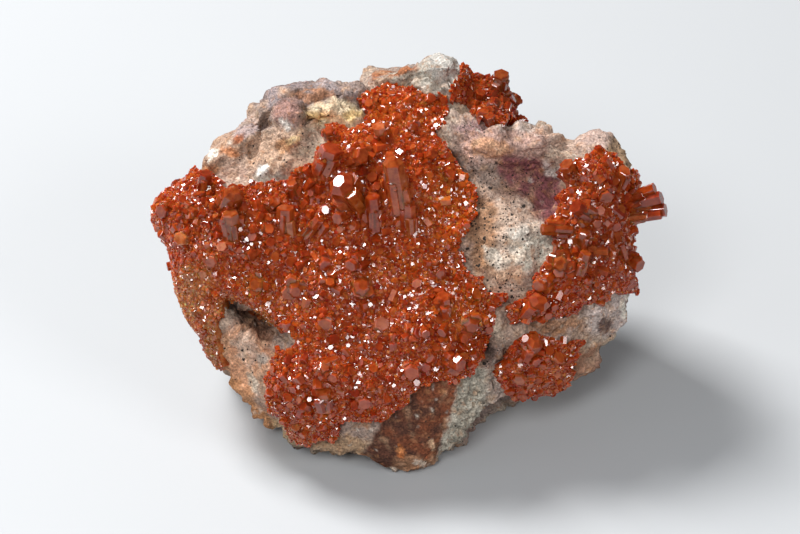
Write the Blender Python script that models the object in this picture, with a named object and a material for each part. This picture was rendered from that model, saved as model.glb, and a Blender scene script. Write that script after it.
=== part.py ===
"""Vanadinite on matrix: a pale, lumpy stone with crusts of hexagonal red-orange crystals on its leaning face.

Sizes are in millimetres in the face frame, which lies on the leaning crystal face: u runs across to the right,
v runs up the face and w stands out of it. face_to_world turns them into metres, +Z up, with the stone resting
on the flat break under it at z = 0.
"""

import math
import random

import bmesh
import bpy
import numpy as np
from mathutils import Matrix, Vector, noise
from mathutils.bvhtree import BVHTree

MM = 0.001

# Driving dimensions
FACE_LEAN = math.radians(40)  # the face looks up at this angle above the horizon
FOOT_X, FOOT_Y = 0.05, -20.0  # where the face's lowest point stands from the middle of the object's box
CORE_U, CORE_V = 0.0, 20.0  # the point inside the outline that the stone is swept around
FRONT_SWELL = 8.5  # how far the stone stands out of its outline in front
BACK_SWELL = 27.0  # and behind
TOP_RECEDES = 4.0  # how far the outline's top lies behind its foot
FACE_HEIGHT = 50.8
OUTLINE_EASE = math.radians(1.2)  # the outline's corners are rounded over this angle
OUTLINE_BLUR = math.radians(28)  # the outline's small notches die away over this angle on the back
ROUGHNESS = 0.75  # height of the stone's coarse unevenness
ROUGHNESS_SPAN = 7.0
BACK_ROUGHNESS = 1.5  # and of the broader unevenness of its back
BACK_ROUGHNESS_SPAN = 15.0
MATRIX_FACES = 3100
CLEARANCE = 0.35  # gap between the stone and a crust that grows on it
CRUST_BACK, CRUST_FRONT = -14.0, 26.0  # how far behind and in front of the face a crust's outline is drawn out
WRAP = 3.6  # how far past its edge a crust wraps round the stone
WRAP_WANDERS = 2.6
SEED = 11

# The stone's outline as the face is seen square on, clockwise from its left tip
OUTLINE = (
    (-30.4, 32.3), (-29.6, 33.4), (-28.0, 34.4), (-25.9, 36.2), (-25.0, 37.6), (-24.4, 39.2), (-22.9, 40.8),
    (-19.6, 42.6), (-18.7, 44.0), (-17.3, 45.6), (-15.7, 46.8), (-13.6, 47.5), (-11.3, 48.0), (-9.1, 47.9),
    (-7.7, 47.3), (-6.8, 46.8), (-5.8, 47.5), (-4.8, 47.9), (-4.1, 48.9), (-0.7, 49.3), (1.1, 49.1),
    (2.2, 50.0), (3.0, 50.8), (4.9, 50.6), (6.8, 50.2), (8.0, 48.9), (9.6, 47.9), (11.4, 48.1), (12.0, 46.9),
    (13.0, 45.8), (13.3, 44.6), (13.2, 43.2), (15.4, 43.0), (16.8, 42.5), (17.8, 41.3), (18.2, 39.7),
    (20.1, 40.5), (22.0, 42.0), (23.9, 42.2), (25.4, 41.3), (26.9, 39.2), (27.9, 36.6), (28.3, 34.9),
    (28.2, 32.5), (27.4, 30.9), (27.2, 29.5), (27.3, 27.5), (27.1, 25.4), (27.0, 22.4), (26.8, 18.8),
    (25.4, 16.7), (24.0, 15.0), (23.0, 12.8), (21.6, 11.9), (18.5, 10.9), (14.3, 9.8), (11.3, 8.8),
    (9.1, 7.7), (8.0, 6.4), (7.0, 4.2), (4.2, 3.0), (3.6, 1.7), (0.5, 0.6), (-1.6, 0.0), (-3.1, 1.0),
    (-5.3, 2.4), (-7.9, 2.8), (-10.9, 3.2), (-12.8, 3.9), (-15.1, 4.9), (-18.0, 6.2), (-19.7, 8.0),
    (-21.1, 10.2), (-21.9, 12.7), (-23.5, 14.8), (-24.4, 16.8), (-25.8, 19.0), (-27.2, 21.6), (-28.0, 24.4),
    (-28.4, 27.3), (-29.3, 29.2), (-30.1, 30.6),
)

# Where a crust wraps over the edge the stone lies that much inside the outline: middle and half of the arc about
# the core, in degrees, and depth
CRUSTED_EDGES = (
    (172, 34, 0.9),  # left
    (67, 13, 1.9),  # top
    (22, 17, 1.1),  # right
    (-40, 14, 0.8),  # lower right
)

# Swellings and hollows of the bare stone: centre u, v, half width, half height, turn in degrees, rise
RELIEF = (
    (-16.6, 45.0, 3.4, 2.3, 25, 2.2),  # knobs along the top left edge
    (-12.6, 45.9, 3.0, 2.4, 0, 2.4),
    (-8.8, 46.2, 2.9, 2.2, 0, 2.4),
    (-6.2, 45.4, 1.8, 1.8, 0, 1.6),
    (-13.8, 42.0, 3.1, 2.9, 10, 3.2),  # pink knob under them
    (-10.6, 44.1, 2.4, 1.4, 0, 1.6),
    (-22.6, 38.9, 2.6, 2.0, 40, 1.5),  # knobs of the left shoulder
    (-19.6, 41.0, 2.4, 1.8, 30, 1.6),
    (-12.0, 38.5, 7.5, 3.2, 8, 1.6),  # pale slope above the main crust
    (4.0, 48.4, 4.6, 2.9, -8, 3.0),  # block at the top
    (-1.8, 48.3, 3.6, 1.4, 3, 1.8),
    (11.2, 40.4, 7.2, 3.8, -4, 3.4),  # boulder of the upper right
    (16.3, 40.4, 2.4, 2.4, 0, 1.2),
    (23.6, 38.6, 5.0, 4.4, 0, 3.0),  # knob of the right shoulder
    (14.6, 34.4, 5.4, 4.0, -35, -1.8),  # mauve trough between them
    (12.4, 27.6, 5.2, 7.0, 0, 1.2),  # cream ground right of the main crust
    (-17.8, 18.8, 1.5, 4.4, 57, -4.6),  # hollow under the crust's lip
    (-19.6, 13.8, 5.0, 5.2, 0, -1.6),
    (24.8, 19.6, 3.4, 3.6, 0, 1.8),  # knob low on the right
    (24.4, 17.8, 1.1, 1.7, 20, -1.7),
    (9.6, 16.0, 1.6, 3.0, 10, -1.8),  # cleft between the lower crusts
    (-21.8, 28.0, 9.0, 7.0, 0, 1.2),
    (21.5, 29.0, 6.0, 8.5, 0, 1.8),
)

# Flat breaks: a point of the plane in the face frame, the way it looks, and how much of what lies past it goes
BREAKS = (
    ((-1.6, 0.0, 0.2), (-0.10, -0.54, 0.83), 0.9),  # brown break at the foot
    ((8.0, 5.2, 0.6), (0.45, -0.55, 0.72), 0.9),  # grey break beside it
    ((-11.0, 4.6, 2.4), (-0.45, -0.72, 0.52), 0.7),
    ((-14.0, 38.0, -14.5), (-0.45, 0.55, -0.70), 0.9),  # and the rest on the back
    ((10.0, 40.0, -14.0), (0.35, 0.66, -0.66), 0.9),
    ((22.0, 26.0, -12.0), (0.80, 0.05, -0.60), 0.9),
    ((21.0, 14.0, -8.0), (0.74, -0.50, -0.45), 0.8),
    ((-23.5, 20.0, -11.0), (-0.86, -0.18, -0.48), 0.9),
    ((-16.0, 26.0, -19.5), (-0.60, 0.10, -0.79), 0.9),
    ((3.0, 30.0, -23.5), (0.12, 0.30, -0.95), 0.9),
)

# Crust outlines. Where a crust wraps over the stone's edge its outline runs outside the stone
MAIN_CRUST = (
    (-34.0, 32.4), (-33.0, 36.0), (-29.8, 37.4), (-26.2, 36.9), (-22.8, 36.5), (-20.4, 34.7), (-15.6, 35.2),
    (-12.7, 36.1), (-10.7, 37.1), (-10.6, 38.3), (-9.2, 39.6), (-10.2, 40.7), (-9.4, 42.0), (-7.9, 41.8),
    (-6.5, 40.8), (-5.2, 41.5), (-5.0, 43.7), (-6.2, 45.1), (-5.4, 46.4), (-3.2, 47.2), (-1.2, 48.0),
    (0.4, 47.4), (3.0, 46.4), (4.7, 46.8), (5.2, 44.8), (4.8, 42.0), (3.6, 41.2), (4.6, 39.0), (6.5, 37.2),
    (8.2, 34.2), (8.6, 31.7), (7.2, 29.2), (6.6, 27.2), (7.3, 24.8), (9.0, 23.6), (9.6, 22.6), (11.6, 22.4),
    (12.1, 21.5), (10.6, 20.3), (10.7, 18.7), (9.6, 16.9), (8.8, 14.6), (7.9, 13.1), (5.0, 12.0),
    (1.7, 11.6), (0.0, 9.2), (-1.8, 7.6), (-7.4, 7.1), (-7.9, 5.3), (-11.0, 4.6), (-12.7, 4.6), (-14.2, 5.4),
    (-14.9, 7.0), (-16.6, 8.3), (-17.5, 10.4), (-16.6, 13.4), (-14.8, 15.2), (-12.7, 16.7), (-15.1, 17.8),
    (-17.3, 19.0), (-19.1, 20.5), (-20.9, 21.1), (-21.5, 19.8), (-21.8, 17.0), (-21.4, 14.5), (-22.4, 11.0),
    (-26.0, 11.6), (-30.0, 18.0), (-32.6, 26.0),
)
RIGHT_CRUST = (
    (22.1, 39.4), (23.6, 39.0), (24.8, 37.8), (25.7, 36.1), (26.9, 36.7), (28.6, 37.2), (33.0, 37.6),
    (34.0, 32.0), (33.0, 27.0), (32.0, 22.0), (27.4, 21.9), (24.8, 22.1), (22.8, 21.2), (20.8, 20.5),
    (19.9, 19.3), (17.5, 19.1), (15.5, 18.6), (13.6, 18.3), (11.8, 18.7), (11.6, 20.2), (13.3, 21.7),
    (15.1, 22.4), (14.6, 23.8), (16.1, 26.0), (17.3, 27.2), (17.4, 28.9), (16.2, 29.9), (16.6, 31.1),
    (17.6, 31.9), (17.2, 33.5), (18.5, 34.7), (17.6, 36.5), (18.7, 37.4), (20.6, 38.3),
)
LOWER_CRUST = (
    (13.0, 16.6), (13.8, 17.4), (15.2, 17.6), (16.4, 17.2), (18.5, 16.8), (20.5, 16.9), (20.9, 15.6),
    (20.0, 13.8), (19.2, 11.6), (18.6, 8.6), (14.4, 7.6), (12.2, 9.8), (10.6, 11.8), (10.1, 13.3),
    (11.3, 14.8), (12.0, 15.8),
)
TOP_CRUST = (
    (5.9, 46.4), (6.7, 48.2), (8.0, 50.6), (11.4, 51.6), (15.4, 50.0), (16.8, 46.0), (15.8, 42.9),
    (13.7, 42.7), (11.3, 42.5), (9.5, 42.8), (8.6, 44.2), (7.3, 45.0), (6.1, 45.2),
)

# How far a crust stands off the stone, then where it swells: centre u, v, half width, half height, turn, rise
CRUST_RISE = 1.5
CRUST_SWELLINGS = (
    (-4.5, 36.0, 9.0, 7.5, 20, 2.0),
    (2.5, 29.0, 5.5, 9.0, 0, 0.9),
    (-21.0, 30.0, 8.0, 4.5, -15, 0.9),
    (-9.0, 24.0, 9.0, 4.0, -20, 0.5),
    (4.0, 18.0, 6.0, 5.0, 0, 0.9),
    (-9.0, 11.5, 6.5, 4.5, 10, 0.8),
    (22.0, 33.0, 5.0, 5.5, 0, 1.2),
    (20.5, 25.0, 5.0, 3.6, 0, 1.0),
    (13.9, 20.6, 2.2, 2.0, 0, 0.5),
    (15.4, 13.6, 4.0, 3.4, 0, 0.8),
    (11.0, 46.0, 3.6, 3.0, -30, 1.4),
)
SINKS = 1.2
CRUST_ABOVE_GROUND = 2.4
RIM_THINS_TO = 0.7  # where a crust wraps over the stone's edge it stands off by this share of its rise

# The crystals that stand out by size: foot u, v, radius, length, lean from the face's normal, heading of the lean
MAIN_CRYSTALS = (
    (-0.8, 33.0, 1.35, 5.6, 62, 100),  # the tall prism at the middle
    (-6.6, 33.6, 1.90, 3.4, 36, 128),  # the thick one left of it
    (-3.7, 30.8, 1.10, 3.0, 60, 95), (-9.6, 37.4, 1.35, 2.4, 50, 65), (-6.0, 38.0, 1.20, 1.6, 35, 20),
    (-2.8, 40.6, 1.00, 1.6, 48, 110), (0.4, 30.2, 1.00, 2.6, 60, 90), (-7.2, 31.4, 0.90, 1.5, 40, 210),
    (-8.9, 40.8, 0.80, 1.4, 45, 110), (-0.7, 46.8, 1.00, 1.8, 50, 90), (2.6, 45.0, 0.80, 1.3, 40, 40),
    (-4.0, 44.6, 0.80, 1.2, 40, 160), (0.6, 42.2, 0.80, 1.3, 35, 300), (2.2, 38.0, 0.80, 1.6, 45, 30),
    (5.0, 35.8, 0.75, 1.3, 40, 60), (-21.0, 32.6, 1.50, 2.5, 42, 62), (-20.4, 29.6, 1.25, 2.2, 58, 100),
    (-14.2, 29.8, 1.10, 2.6, 60, 90), (-16.2, 32.3, 0.80, 1.5, 45, 40), (-11.6, 29.2, 0.85, 2.3, 65, 50),
    (-13.3, 33.8, 0.90, 1.6, 50, 100), (-24.0, 34.6, 0.90, 2.0, 55, 80), (-26.0, 32.2, 0.90, 1.6, 48, 330),
    (-28.6, 32.0, 1.00, 1.4, 40, 200), (-26.4, 28.6, 1.00, 1.2, 35, 110), (-18.5, 27.0, 0.80, 1.3, 45, 320),
    (-23.0, 26.0, 0.90, 1.0, 30, 250), (-17.6, 23.2, 1.50, 1.1, 22, 200), (-13.0, 22.6, 1.60, 1.2, 26, 270),
    (-10.0, 26.2, 1.10, 1.5, 38, 300), (-5.6, 26.0, 1.10, 1.7, 42, 215), (-5.2, 22.8, 1.50, 1.4, 18, 60),
    (-9.4, 18.8, 1.10, 1.2, 30, 240), (-3.0, 18.4, 1.20, 1.1, 25, 30), (4.2, 24.7, 0.85, 1.2, 35, 250),
    (7.8, 21.8, 0.90, 1.4, 38, 30), (4.6, 20.4, 1.10, 1.8, 48, 100), (7.6, 18.4, 1.50, 1.3, 25, 290),
    (5.2, 14.4, 1.10, 1.8, 50, 330), (0.7, 13.2, 1.30, 1.4, 32, 260), (1.2, 17.4, 0.90, 1.2, 30, 20),
    (-4.9, 9.6, 1.00, 1.3, 42, 270), (-9.6, 9.4, 1.20, 1.6, 48, 100), (-10.0, 13.2, 0.90, 1.3, 45, 40),
)
RIGHT_CRYSTALS = (
    (18.8, 29.6, 0.90, 2.8, 74, 180), (25.6, 26.9, 0.80, 2.8, 68, 110), (21.2, 31.6, 1.10, 1.8, 50, 150),
    (20.8, 28.2, 0.90, 1.5, 50, 80), (26.8, 33.5, 0.85, 3.0, 66, 22), (27.0, 32.6, 0.95, 3.5, 68, 14),
    (27.2, 31.6, 1.00, 3.7, 70, 6), (26.6, 30.9, 0.70, 3.7, 72, 8), (27.6, 32.4, 0.80, 2.2, 52, 10),
    (25.4, 35.4, 1.00, 1.6, 48, 70), (26.6, 26.0, 1.00, 1.6, 50, 330),
    (20.6, 25.0, 0.80, 2.2, 55, 75), (18.4, 25.6, 1.60, 1.4, 25, 200), (16.4, 23.6, 1.10, 1.5, 40, 220),
    (15.0, 20.4, 1.50, 2.0, 38, 45), (19.6, 36.2, 1.00, 1.7, 48, 120), (23.4, 33.8, 1.10, 1.4, 32, 300),
)
LOWER_CRYSTALS = (
    (14.6, 15.8, 1.40, 1.7, 40, 60), (13.6, 12.2, 1.00, 1.3, 38, 250), (17.8, 14.4, 1.00, 1.2, 38, 10),
)
TOP_CRYSTALS = (
    (11.2, 47.0, 1.20, 1.8, 42, 80), (12.8, 45.2, 0.90, 1.4, 42, 10), (10.4, 44.2, 0.90, 1.2, 42, 250),
)
BURIED = 1.3  # how deep every crystal is rooted in its crust
SMALL_RADIUS = (0.6, 1.0)  # of the crystals scattered between the large ones
SMALL_LENGTH = (0.5, 1.0)
SMALL_LEAN = 50
SMALL_APART = 2.0


def smoothstep(x):
    x = np.clip(x, 0.0, 1.0)
    return x * x * (3 - 2 * x)


def swellings(u, v, rows):
    """The sum of smooth oval mounds, one for each row of centre, half sizes, turn and rise."""
    total = np.zeros_like(u)
    for centre_u, centre_v, half_u, half_v, turn, rise in rows:
        c, s = math.cos(math.radians(turn)), math.sin(math.radians(turn))
        along = ((u - centre_u) * c + (v - centre_v) * s) / half_u
        across = ((v - centre_v) * c - (u - centre_u) * s) / half_v
        total += rise * smoothstep(1.25 - np.hypot(along, across))
    return total


def face_to_world(points):
    """Points (u, v, w) of the face frame, in millimetres, as points in metres."""
    u, v, w = np.asarray(points, float).T
    x = u + FOOT_X
    y = v * math.sin(FACE_LEAN) - w * math.cos(FACE_LEAN) + FOOT_Y
    z = v * math.cos(FACE_LEAN) + w * math.sin(FACE_LEAN)
    return np.stack([x, y, z], axis=1) * MM


def world_to_face(points):
    x, y, z = (np.asarray(points, float) / MM).T
    y = y - FOOT_Y
    v = y * math.sin(FACE_LEAN) + z * math.cos(FACE_LEAN)
    w = z * math.sin(FACE_LEAN) - y * math.cos(FACE_LEAN)
    return np.stack([x - FOOT_X, v, w], axis=1)


def rim_depth(v):
    """How deep the stone's outline lies at each height up the face."""
    return -TOP_RECEDES * (v / FACE_HEIGHT) ** 2


def outline_reach(angle, blur=0.0):
    """Distance from the core to the outline at each angle, taken as the mean over blur to either side."""
    rim = np.array(OUTLINE) - (CORE_U, CORE_V)
    at = np.arctan2(rim[:, 1], rim[:, 0])
    order = np.argsort(at)
    reach = np.hypot(rim[:, 0], rim[:, 1])[order]
    turns = np.linspace(-blur, blur, 9)
    drawn = np.mean([np.interp(angle + turn, at[order], reach, period=2 * math.pi) for turn in turns], axis=0)
    for middle, half, depth in CRUSTED_EDGES:
        away = (np.degrees(angle) - middle + 180) % 360 - 180
        drawn -= depth * smoothstep(1.25 - np.abs(away) / half)
    return drawn


def uneven(points, span):
    """Smooth noise from -1 to 1 at each point, whose bumps are about one span wide."""
    return np.array([noise.fractal(Vector(p) / span, 1.0, 2.0, 3) for p in points])


def outward(points):
    """Directions out of the stone at points of the face frame, as smooth as its outline."""
    u, v, w = points.T
    angle = np.arctan2(v - CORE_V, u - CORE_U)
    reach = outline_reach(angle)
    share = np.clip(np.hypot(u - CORE_U, v - CORE_V) / reach, 0.0, 1.0)
    in_front = w > rim_depth(v)
    rise = np.where(in_front, 1 / FRONT_SWELL, -1 / BACK_SWELL) * np.sqrt(1 - share**2)
    way = np.stack([np.cos(angle) * share / reach, np.sin(angle) * share / reach, rise], axis=1)
    return way / np.linalg.norm(way, axis=1)[:, None]


def stone_surface(ball):
    """The stone's surface in the face frame, for points of the unit sphere: the sphere is stretched to the outline."""
    x, y, z = ball.T
    angle = np.arctan2(y, x)
    sharp = outline_reach(angle, OUTLINE_EASE)
    reach = sharp + (outline_reach(angle, OUTLINE_BLUR) - sharp) * smoothstep(-z / 0.45)
    u = CORE_U + np.hypot(x, y) * reach * np.cos(angle)
    v = CORE_V + np.hypot(x, y) * reach * np.sin(angle)
    w = np.where(z > 0, FRONT_SWELL * np.abs(z) ** 0.7, BACK_SWELL * z)
    w += smoothstep(z / 0.3) * swellings(u, v, RELIEF)
    points = np.stack([u, v, w + rim_depth(v)], axis=1)
    off_rim = 0.3 + 0.7 * smoothstep(np.abs(z) / 0.35)
    bumps = ROUGHNESS * off_rim * uneven(points, ROUGHNESS_SPAN)
    bumps += BACK_ROUGHNESS * smoothstep(-z / 0.6) * uneven(points, BACK_ROUGHNESS_SPAN)
    points += ball * bumps[:, None]
    for at, looks, share in BREAKS:
        normal = np.array(looks) / np.linalg.norm(looks)
        past = np.maximum((points - at) @ normal, 0.0)
        points -= share * past[:, None] * normal
    return points


def vertex_array(mesh):
    points = np.empty(len(mesh.vertices) * 3)
    mesh.vertices.foreach_get("co", points)
    return points.reshape(-1, 3)


def new_object(name, bm, material=None):
    mesh = bpy.data.meshes.new(name)
    bm.to_mesh(mesh)
    bm.free()
    obj = bpy.data.objects.new(name, mesh)
    bpy.context.scene.collection.objects.link(obj)
    if material:
        mesh.materials.append(material)
    return obj


def helper(obj):
    """Marks a cutter, which is no piece of the object."""
    obj.hide_render = True
    obj.display_type = "WIRE"
    return obj


def evaluated_bmesh(obj):
    bm = bmesh.new()
    bm.from_object(obj, bpy.context.evaluated_depsgraph_get())
    return bm


def add_boolean(obj, operation, other):
    modifier = obj.modifiers.new(operation.lower(), "BOOLEAN")
    modifier.operation = operation
    modifier.object = other
    modifier.solver = "EXACT"
    modifier.use_self = True


def make_material(name, colour, roughness):
    material = bpy.data.materials.new(name)
    material.use_nodes = True
    shader = material.node_tree.nodes["Principled BSDF"]
    shader.inputs["Base Color"].default_value = (*colour, 1.0)
    shader.inputs["Roughness"].default_value = roughness
    shader.inputs["Metallic"].default_value = 0.0
    return material


def make_matrix(material):
    """The stone: a subdivided sphere stretched to its outline, thinned out, and cut flat where it rests."""
    bm = bmesh.new()
    bmesh.ops.create_icosphere(bm, subdivisions=6, radius=1.0)
    ball = np.array([vertex.co for vertex in bm.verts])
    for vertex, point in zip(bm.verts, face_to_world(stone_surface(ball))):
        vertex.co = point
    faces = len(bm.faces)
    rough = new_object("rough_stone", bm)
    thin = rough.modifiers.new("thin", "DECIMATE")
    thin.ratio = MATRIX_FACES / faces
    bm = evaluated_bmesh(rough)
    bpy.data.objects.remove(rough)
    everything = bm.verts[:] + bm.edges[:] + bm.faces[:]
    cut = bmesh.ops.bisect_plane(
        bm, geom=everything, plane_co=(0, 0, 0), plane_no=(0, 0, 1), clear_inner=True, dist=0.001 * MM
    )
    rim = [edge for edge in cut["geom_cut"] if isinstance(edge, bmesh.types.BMEdge)]
    bmesh.ops.contextual_create(bm, geom=rim)
    bmesh.ops.recalc_face_normals(bm, faces=bm.faces)
    return new_object("matrix", bm, material)


def crust_rise(points):
    """How far a crust stands off the stone at points of the face frame; it sinks into it where the crust ends."""
    u, v, w = points.T
    past_edge = w - rim_depth(v)
    rise = CRUST_RISE + swellings(u, v, CRUST_SWELLINGS)
    rise *= RIM_THINS_TO + (1 - RIM_THINS_TO) * smoothstep(past_edge / 4)
    wrap = WRAP + WRAP_WANDERS * uneven(points, 5.0)
    ends = smoothstep((-past_edge - wrap) / 2)
    ends = np.maximum(ends, smoothstep(CRUST_ABOVE_GROUND - face_to_world(points)[:, 2] / MM))
    return rise - (rise + SINKS) * ends


def grown(matrix, name, rise):
    """A copy of the stone whose points have moved outward by rise, one number or one each."""
    obj = helper(new_object(name, evaluated_bmesh(matrix)))
    points = world_to_face(vertex_array(obj.data))
    moved = points + outward(points) * np.broadcast_to(rise, len(points))[:, None]
    obj.data.vertices.foreach_set("co", face_to_world(moved).ravel())
    return obj


def make_column(name, outline, material):
    """A crust's outline drawn out through the stone's face."""
    bm = bmesh.new()
    corners = face_to_world([(u, v, CRUST_BACK) for u, v in outline])
    face = bm.faces.new([bm.verts.new(corner) for corner in corners])
    sides = bmesh.ops.extrude_face_region(bm, geom=[face])["geom"]
    front = face_to_world([(0, 0, CRUST_FRONT)])[0] - face_to_world([(0, 0, CRUST_BACK)])[0]
    moved = [vertex for vertex in sides if isinstance(vertex, bmesh.types.BMVert)]
    bmesh.ops.translate(bm, verts=moved, vec=front)
    bmesh.ops.recalc_face_normals(bm, faces=bm.faces)
    return new_object(name, bm, material)


def inside(outline, u, v):
    """True if the point lies within the outline."""
    found = False
    for (u0, v0), (u1, v1) in zip(outline, outline[1:] + outline[:1]):
        if (v0 > v) != (v1 > v) and u < u0 + (v - v0) / (v1 - v0) * (u1 - u0):
            found = not found
    return found


def scattered(outline, large, count, rng):
    """Small crystals spread over a crust, clear of its edge and of each other."""
    rows = []
    taken = [row[:2] for row in large]
    low = np.min(outline, axis=0)
    high = np.max(outline, axis=0)
    for _ in range(60 * count):
        u, v = rng.uniform(low[0], high[0]), rng.uniform(low[1], high[1])
        radius = rng.uniform(*SMALL_RADIUS)
        length = rng.uniform(*SMALL_LENGTH)
        lean, heading = rng.uniform(5, SMALL_LEAN), rng.uniform(0, 360)
        around = [(u + du, v + dv) for du in (-1, 0, 1) for dv in (-1, 0, 1)]
        if not all(inside(outline, *point) for point in around):
            continue
        if min(math.dist((u, v), other) for other in taken) < SMALL_APART:
            continue
        taken.append((u, v))
        rows.append((u, v, radius, length, lean, heading))
        if len(rows) == count:
            break
    return rows


def add_crystal(bm, surface, row, rng):
    """A hexagonal prism with a flat end, rooted where a line along the face's normal meets the crust."""
    u, v, radius, length, lean, heading = row
    eye, below = face_to_world([(u, v, 60), (u, v, 0)])
    foot = surface.ray_cast(Vector(eye), Vector(below - eye).normalized())[0]
    if foot is None:
        return
    lean, heading = math.radians(lean), math.radians(heading)
    tip = (math.sin(lean) * math.cos(heading), math.sin(lean) * math.sin(heading), math.cos(lean))
    start, end = face_to_world([(0, 0, 0), tip])
    axis = Vector(end - start).normalized()
    turn = axis.to_track_quat("Z", "Y").to_matrix().to_4x4() @ Matrix.Rotation(rng.uniform(0, 1), 4, "Z")
    depth = (length + BURIED) * MM
    middle = foot + axis * (length - BURIED) / 2 * MM
    bmesh.ops.create_cone(
        bm, cap_ends=True, segments=6, radius1=radius * MM, radius2=radius * MM, depth=depth,
        matrix=Matrix.Translation(middle) @ turn,
    )


def make_crust(name, matrix, shell, clearance, outline, large, small_count, material):
    """A crust with its crystals: the stone's grown skin within the outline, joined to the crystals on it."""
    rng = random.Random(SEED + len(outline))
    crust = make_column(name, outline, material)
    add_boolean(crust, "INTERSECT", shell)
    surface_mesh = evaluated_bmesh(crust)
    surface = BVHTree.FromBMesh(surface_mesh)
    surface_mesh.free()
    bm = bmesh.new()
    for row in [*large, *scattered(outline, large, small_count, rng)]:
        add_crystal(bm, surface, row, rng)
    add_boolean(crust, "UNION", helper(new_object(f"{name}_crystals", bm)))
    add_boolean(crust, "DIFFERENCE", clearance)
    return crust


def main():
    for obj in list(bpy.data.objects):
        bpy.data.objects.remove(obj)
    stone = make_material("stone", (0.52, 0.42, 0.36), 0.85)
    vanadinite = make_material("vanadinite", (0.50, 0.10, 0.02), 0.25)
    matrix = make_matrix(stone)
    shell = grown(matrix, "crust_shell", crust_rise(world_to_face(vertex_array(matrix.data))))
    clearance = grown(matrix, "clearance", CLEARANCE)
    make_crust("main_crust", matrix, shell, clearance, MAIN_CRUST, MAIN_CRYSTALS, 18, vanadinite)
    make_crust("right_crust", matrix, shell, clearance, RIGHT_CRUST, RIGHT_CRYSTALS, 4, vanadinite)
    make_crust("lower_crust", matrix, shell, clearance, LOWER_CRUST, LOWER_CRYSTALS, 3, vanadinite)
    make_crust("top_crust", matrix, shell, clearance, TOP_CRUST, TOP_CRYSTALS, 3, vanadinite)


main()
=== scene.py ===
"""The vanadinite specimen's looks: fine stone, sugary crusts with their crystals, materials and light.

Shapes are worked out in millimetres in the face frame, which lies on the leaning crystal face: u runs across
to the right, v up the face and w out of it. to_world turns them into metres in the object's own frame.
"""

import itertools
import math

import bmesh
import bpy
import numpy as np
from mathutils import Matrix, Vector, noise
from mathutils.bvhtree import BVHTree


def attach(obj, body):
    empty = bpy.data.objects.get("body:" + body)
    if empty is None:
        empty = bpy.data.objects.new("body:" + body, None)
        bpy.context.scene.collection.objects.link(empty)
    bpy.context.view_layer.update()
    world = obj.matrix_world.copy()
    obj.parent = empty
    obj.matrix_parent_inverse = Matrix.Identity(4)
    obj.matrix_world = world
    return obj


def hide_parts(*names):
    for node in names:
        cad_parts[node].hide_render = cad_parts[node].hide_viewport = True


MM = 0.001

# The stone's form, as in the part
FACE_LEAN = math.radians(40)
FOOT_X, FOOT_Y = 0.05, -20
CORE_U, CORE_V = 0, 20
FRONT_SWELL = 8.5
BACK_SWELL = 27
TOP_RECEDES = 4
FACE_HEIGHT = 50.8
OUTLINE_EASE = math.radians(1.2)
OUTLINE_BLUR = math.radians(28)
FRONT_BLUR = math.radians(9)  # the outline's corners die away over this angle towards the middle of the face
ROUGHNESS = 0.75
ROUGHNESS_SPAN = 7
BACK_ROUGHNESS = 1.5
BACK_ROUGHNESS_SPAN = 15
WRAP = 3.6  # how far behind the rim a crust ends
WRAP_WANDERS = 2.6
WRAP_SPAN = 5
SQUARENESS = 0.7  # the power by which the face turns over at its rim
OVAL_ENDS = 1.25  # an oval fades out from a quarter of its half sizes to this share of them
BLUR_STEPS = 9

# Shares of the ball's radius over which something comes in or fades away from the rim
BACK_CORNERS_FADE = 0.45
FRONT_CORNERS_FADE = 0.6
RELIEF_STARTS = 0.3
RIM_BAND = 0.35
BACK_STARTS = 0.6

OUTLINE = (  # of the whole stone: u, v
    (-30.4, 32.3), (-29.6, 33.4), (-28, 34.4), (-25.9, 36.2), (-25, 37.6), (-24.4, 39.2), (-22.9, 40.8),
    (-19.6, 42.6), (-18.7, 44), (-17.3, 45.6), (-15.7, 46.8), (-13.6, 47.5), (-11.3, 48), (-9.1, 47.9),
    (-7.7, 47.3), (-6.8, 46.8), (-5.8, 47.5), (-4.8, 47.9), (-4.1, 48.9), (-0.7, 49.3), (1.1, 49.1),
    (2.2, 50), (3, 50.8), (4.9, 50.6), (6.8, 50.2), (8, 48.9), (9.6, 47.9), (11.4, 48.1), (12, 46.9),
    (13, 45.8), (13.3, 44.6), (13.2, 43.2), (15.4, 43), (16.8, 42.5), (17.8, 41.3), (18.2, 39.7),
    (20.1, 40.5), (22, 42), (23.9, 42.2), (25.4, 41.3), (26.9, 39.2), (27.9, 36.6), (28.3, 34.9),
    (28.2, 32.5), (27.4, 30.9), (27.2, 29.5), (27.3, 27.5), (27.1, 25.4), (27, 22.4), (26.8, 18.8),
    (25.4, 16.7), (24, 15), (23, 12.8), (21.6, 11.9), (18.5, 10.9), (14.3, 9.8), (11.3, 8.8),
    (9.1, 7.7), (8, 6.4), (7, 4.2), (4.2, 3), (3.6, 1.7), (0.5, 0.6), (-1.6, 0), (-3.1, 1),
    (-5.3, 2.4), (-7.9, 2.8), (-10.9, 3.2), (-12.8, 3.9), (-15.1, 4.9), (-18, 6.2), (-19.7, 8),
    (-21.1, 10.2), (-21.9, 12.7), (-23.5, 14.8), (-24.4, 16.8), (-25.8, 19), (-27.2, 21.6), (-28, 24.4),
    (-28.4, 27.3), (-29.3, 29.2), (-30.1, 30.6),
)

# Where a crust grows round the edge, the stone is drawn in: middle and half width in degrees, depth
CRUSTED_EDGES = ((172, 34, 0.9), (67, 13, 1.9), (22, 17, 1.1), (-40, 14, 0.8), (-142, 14, 0.9))

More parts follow.
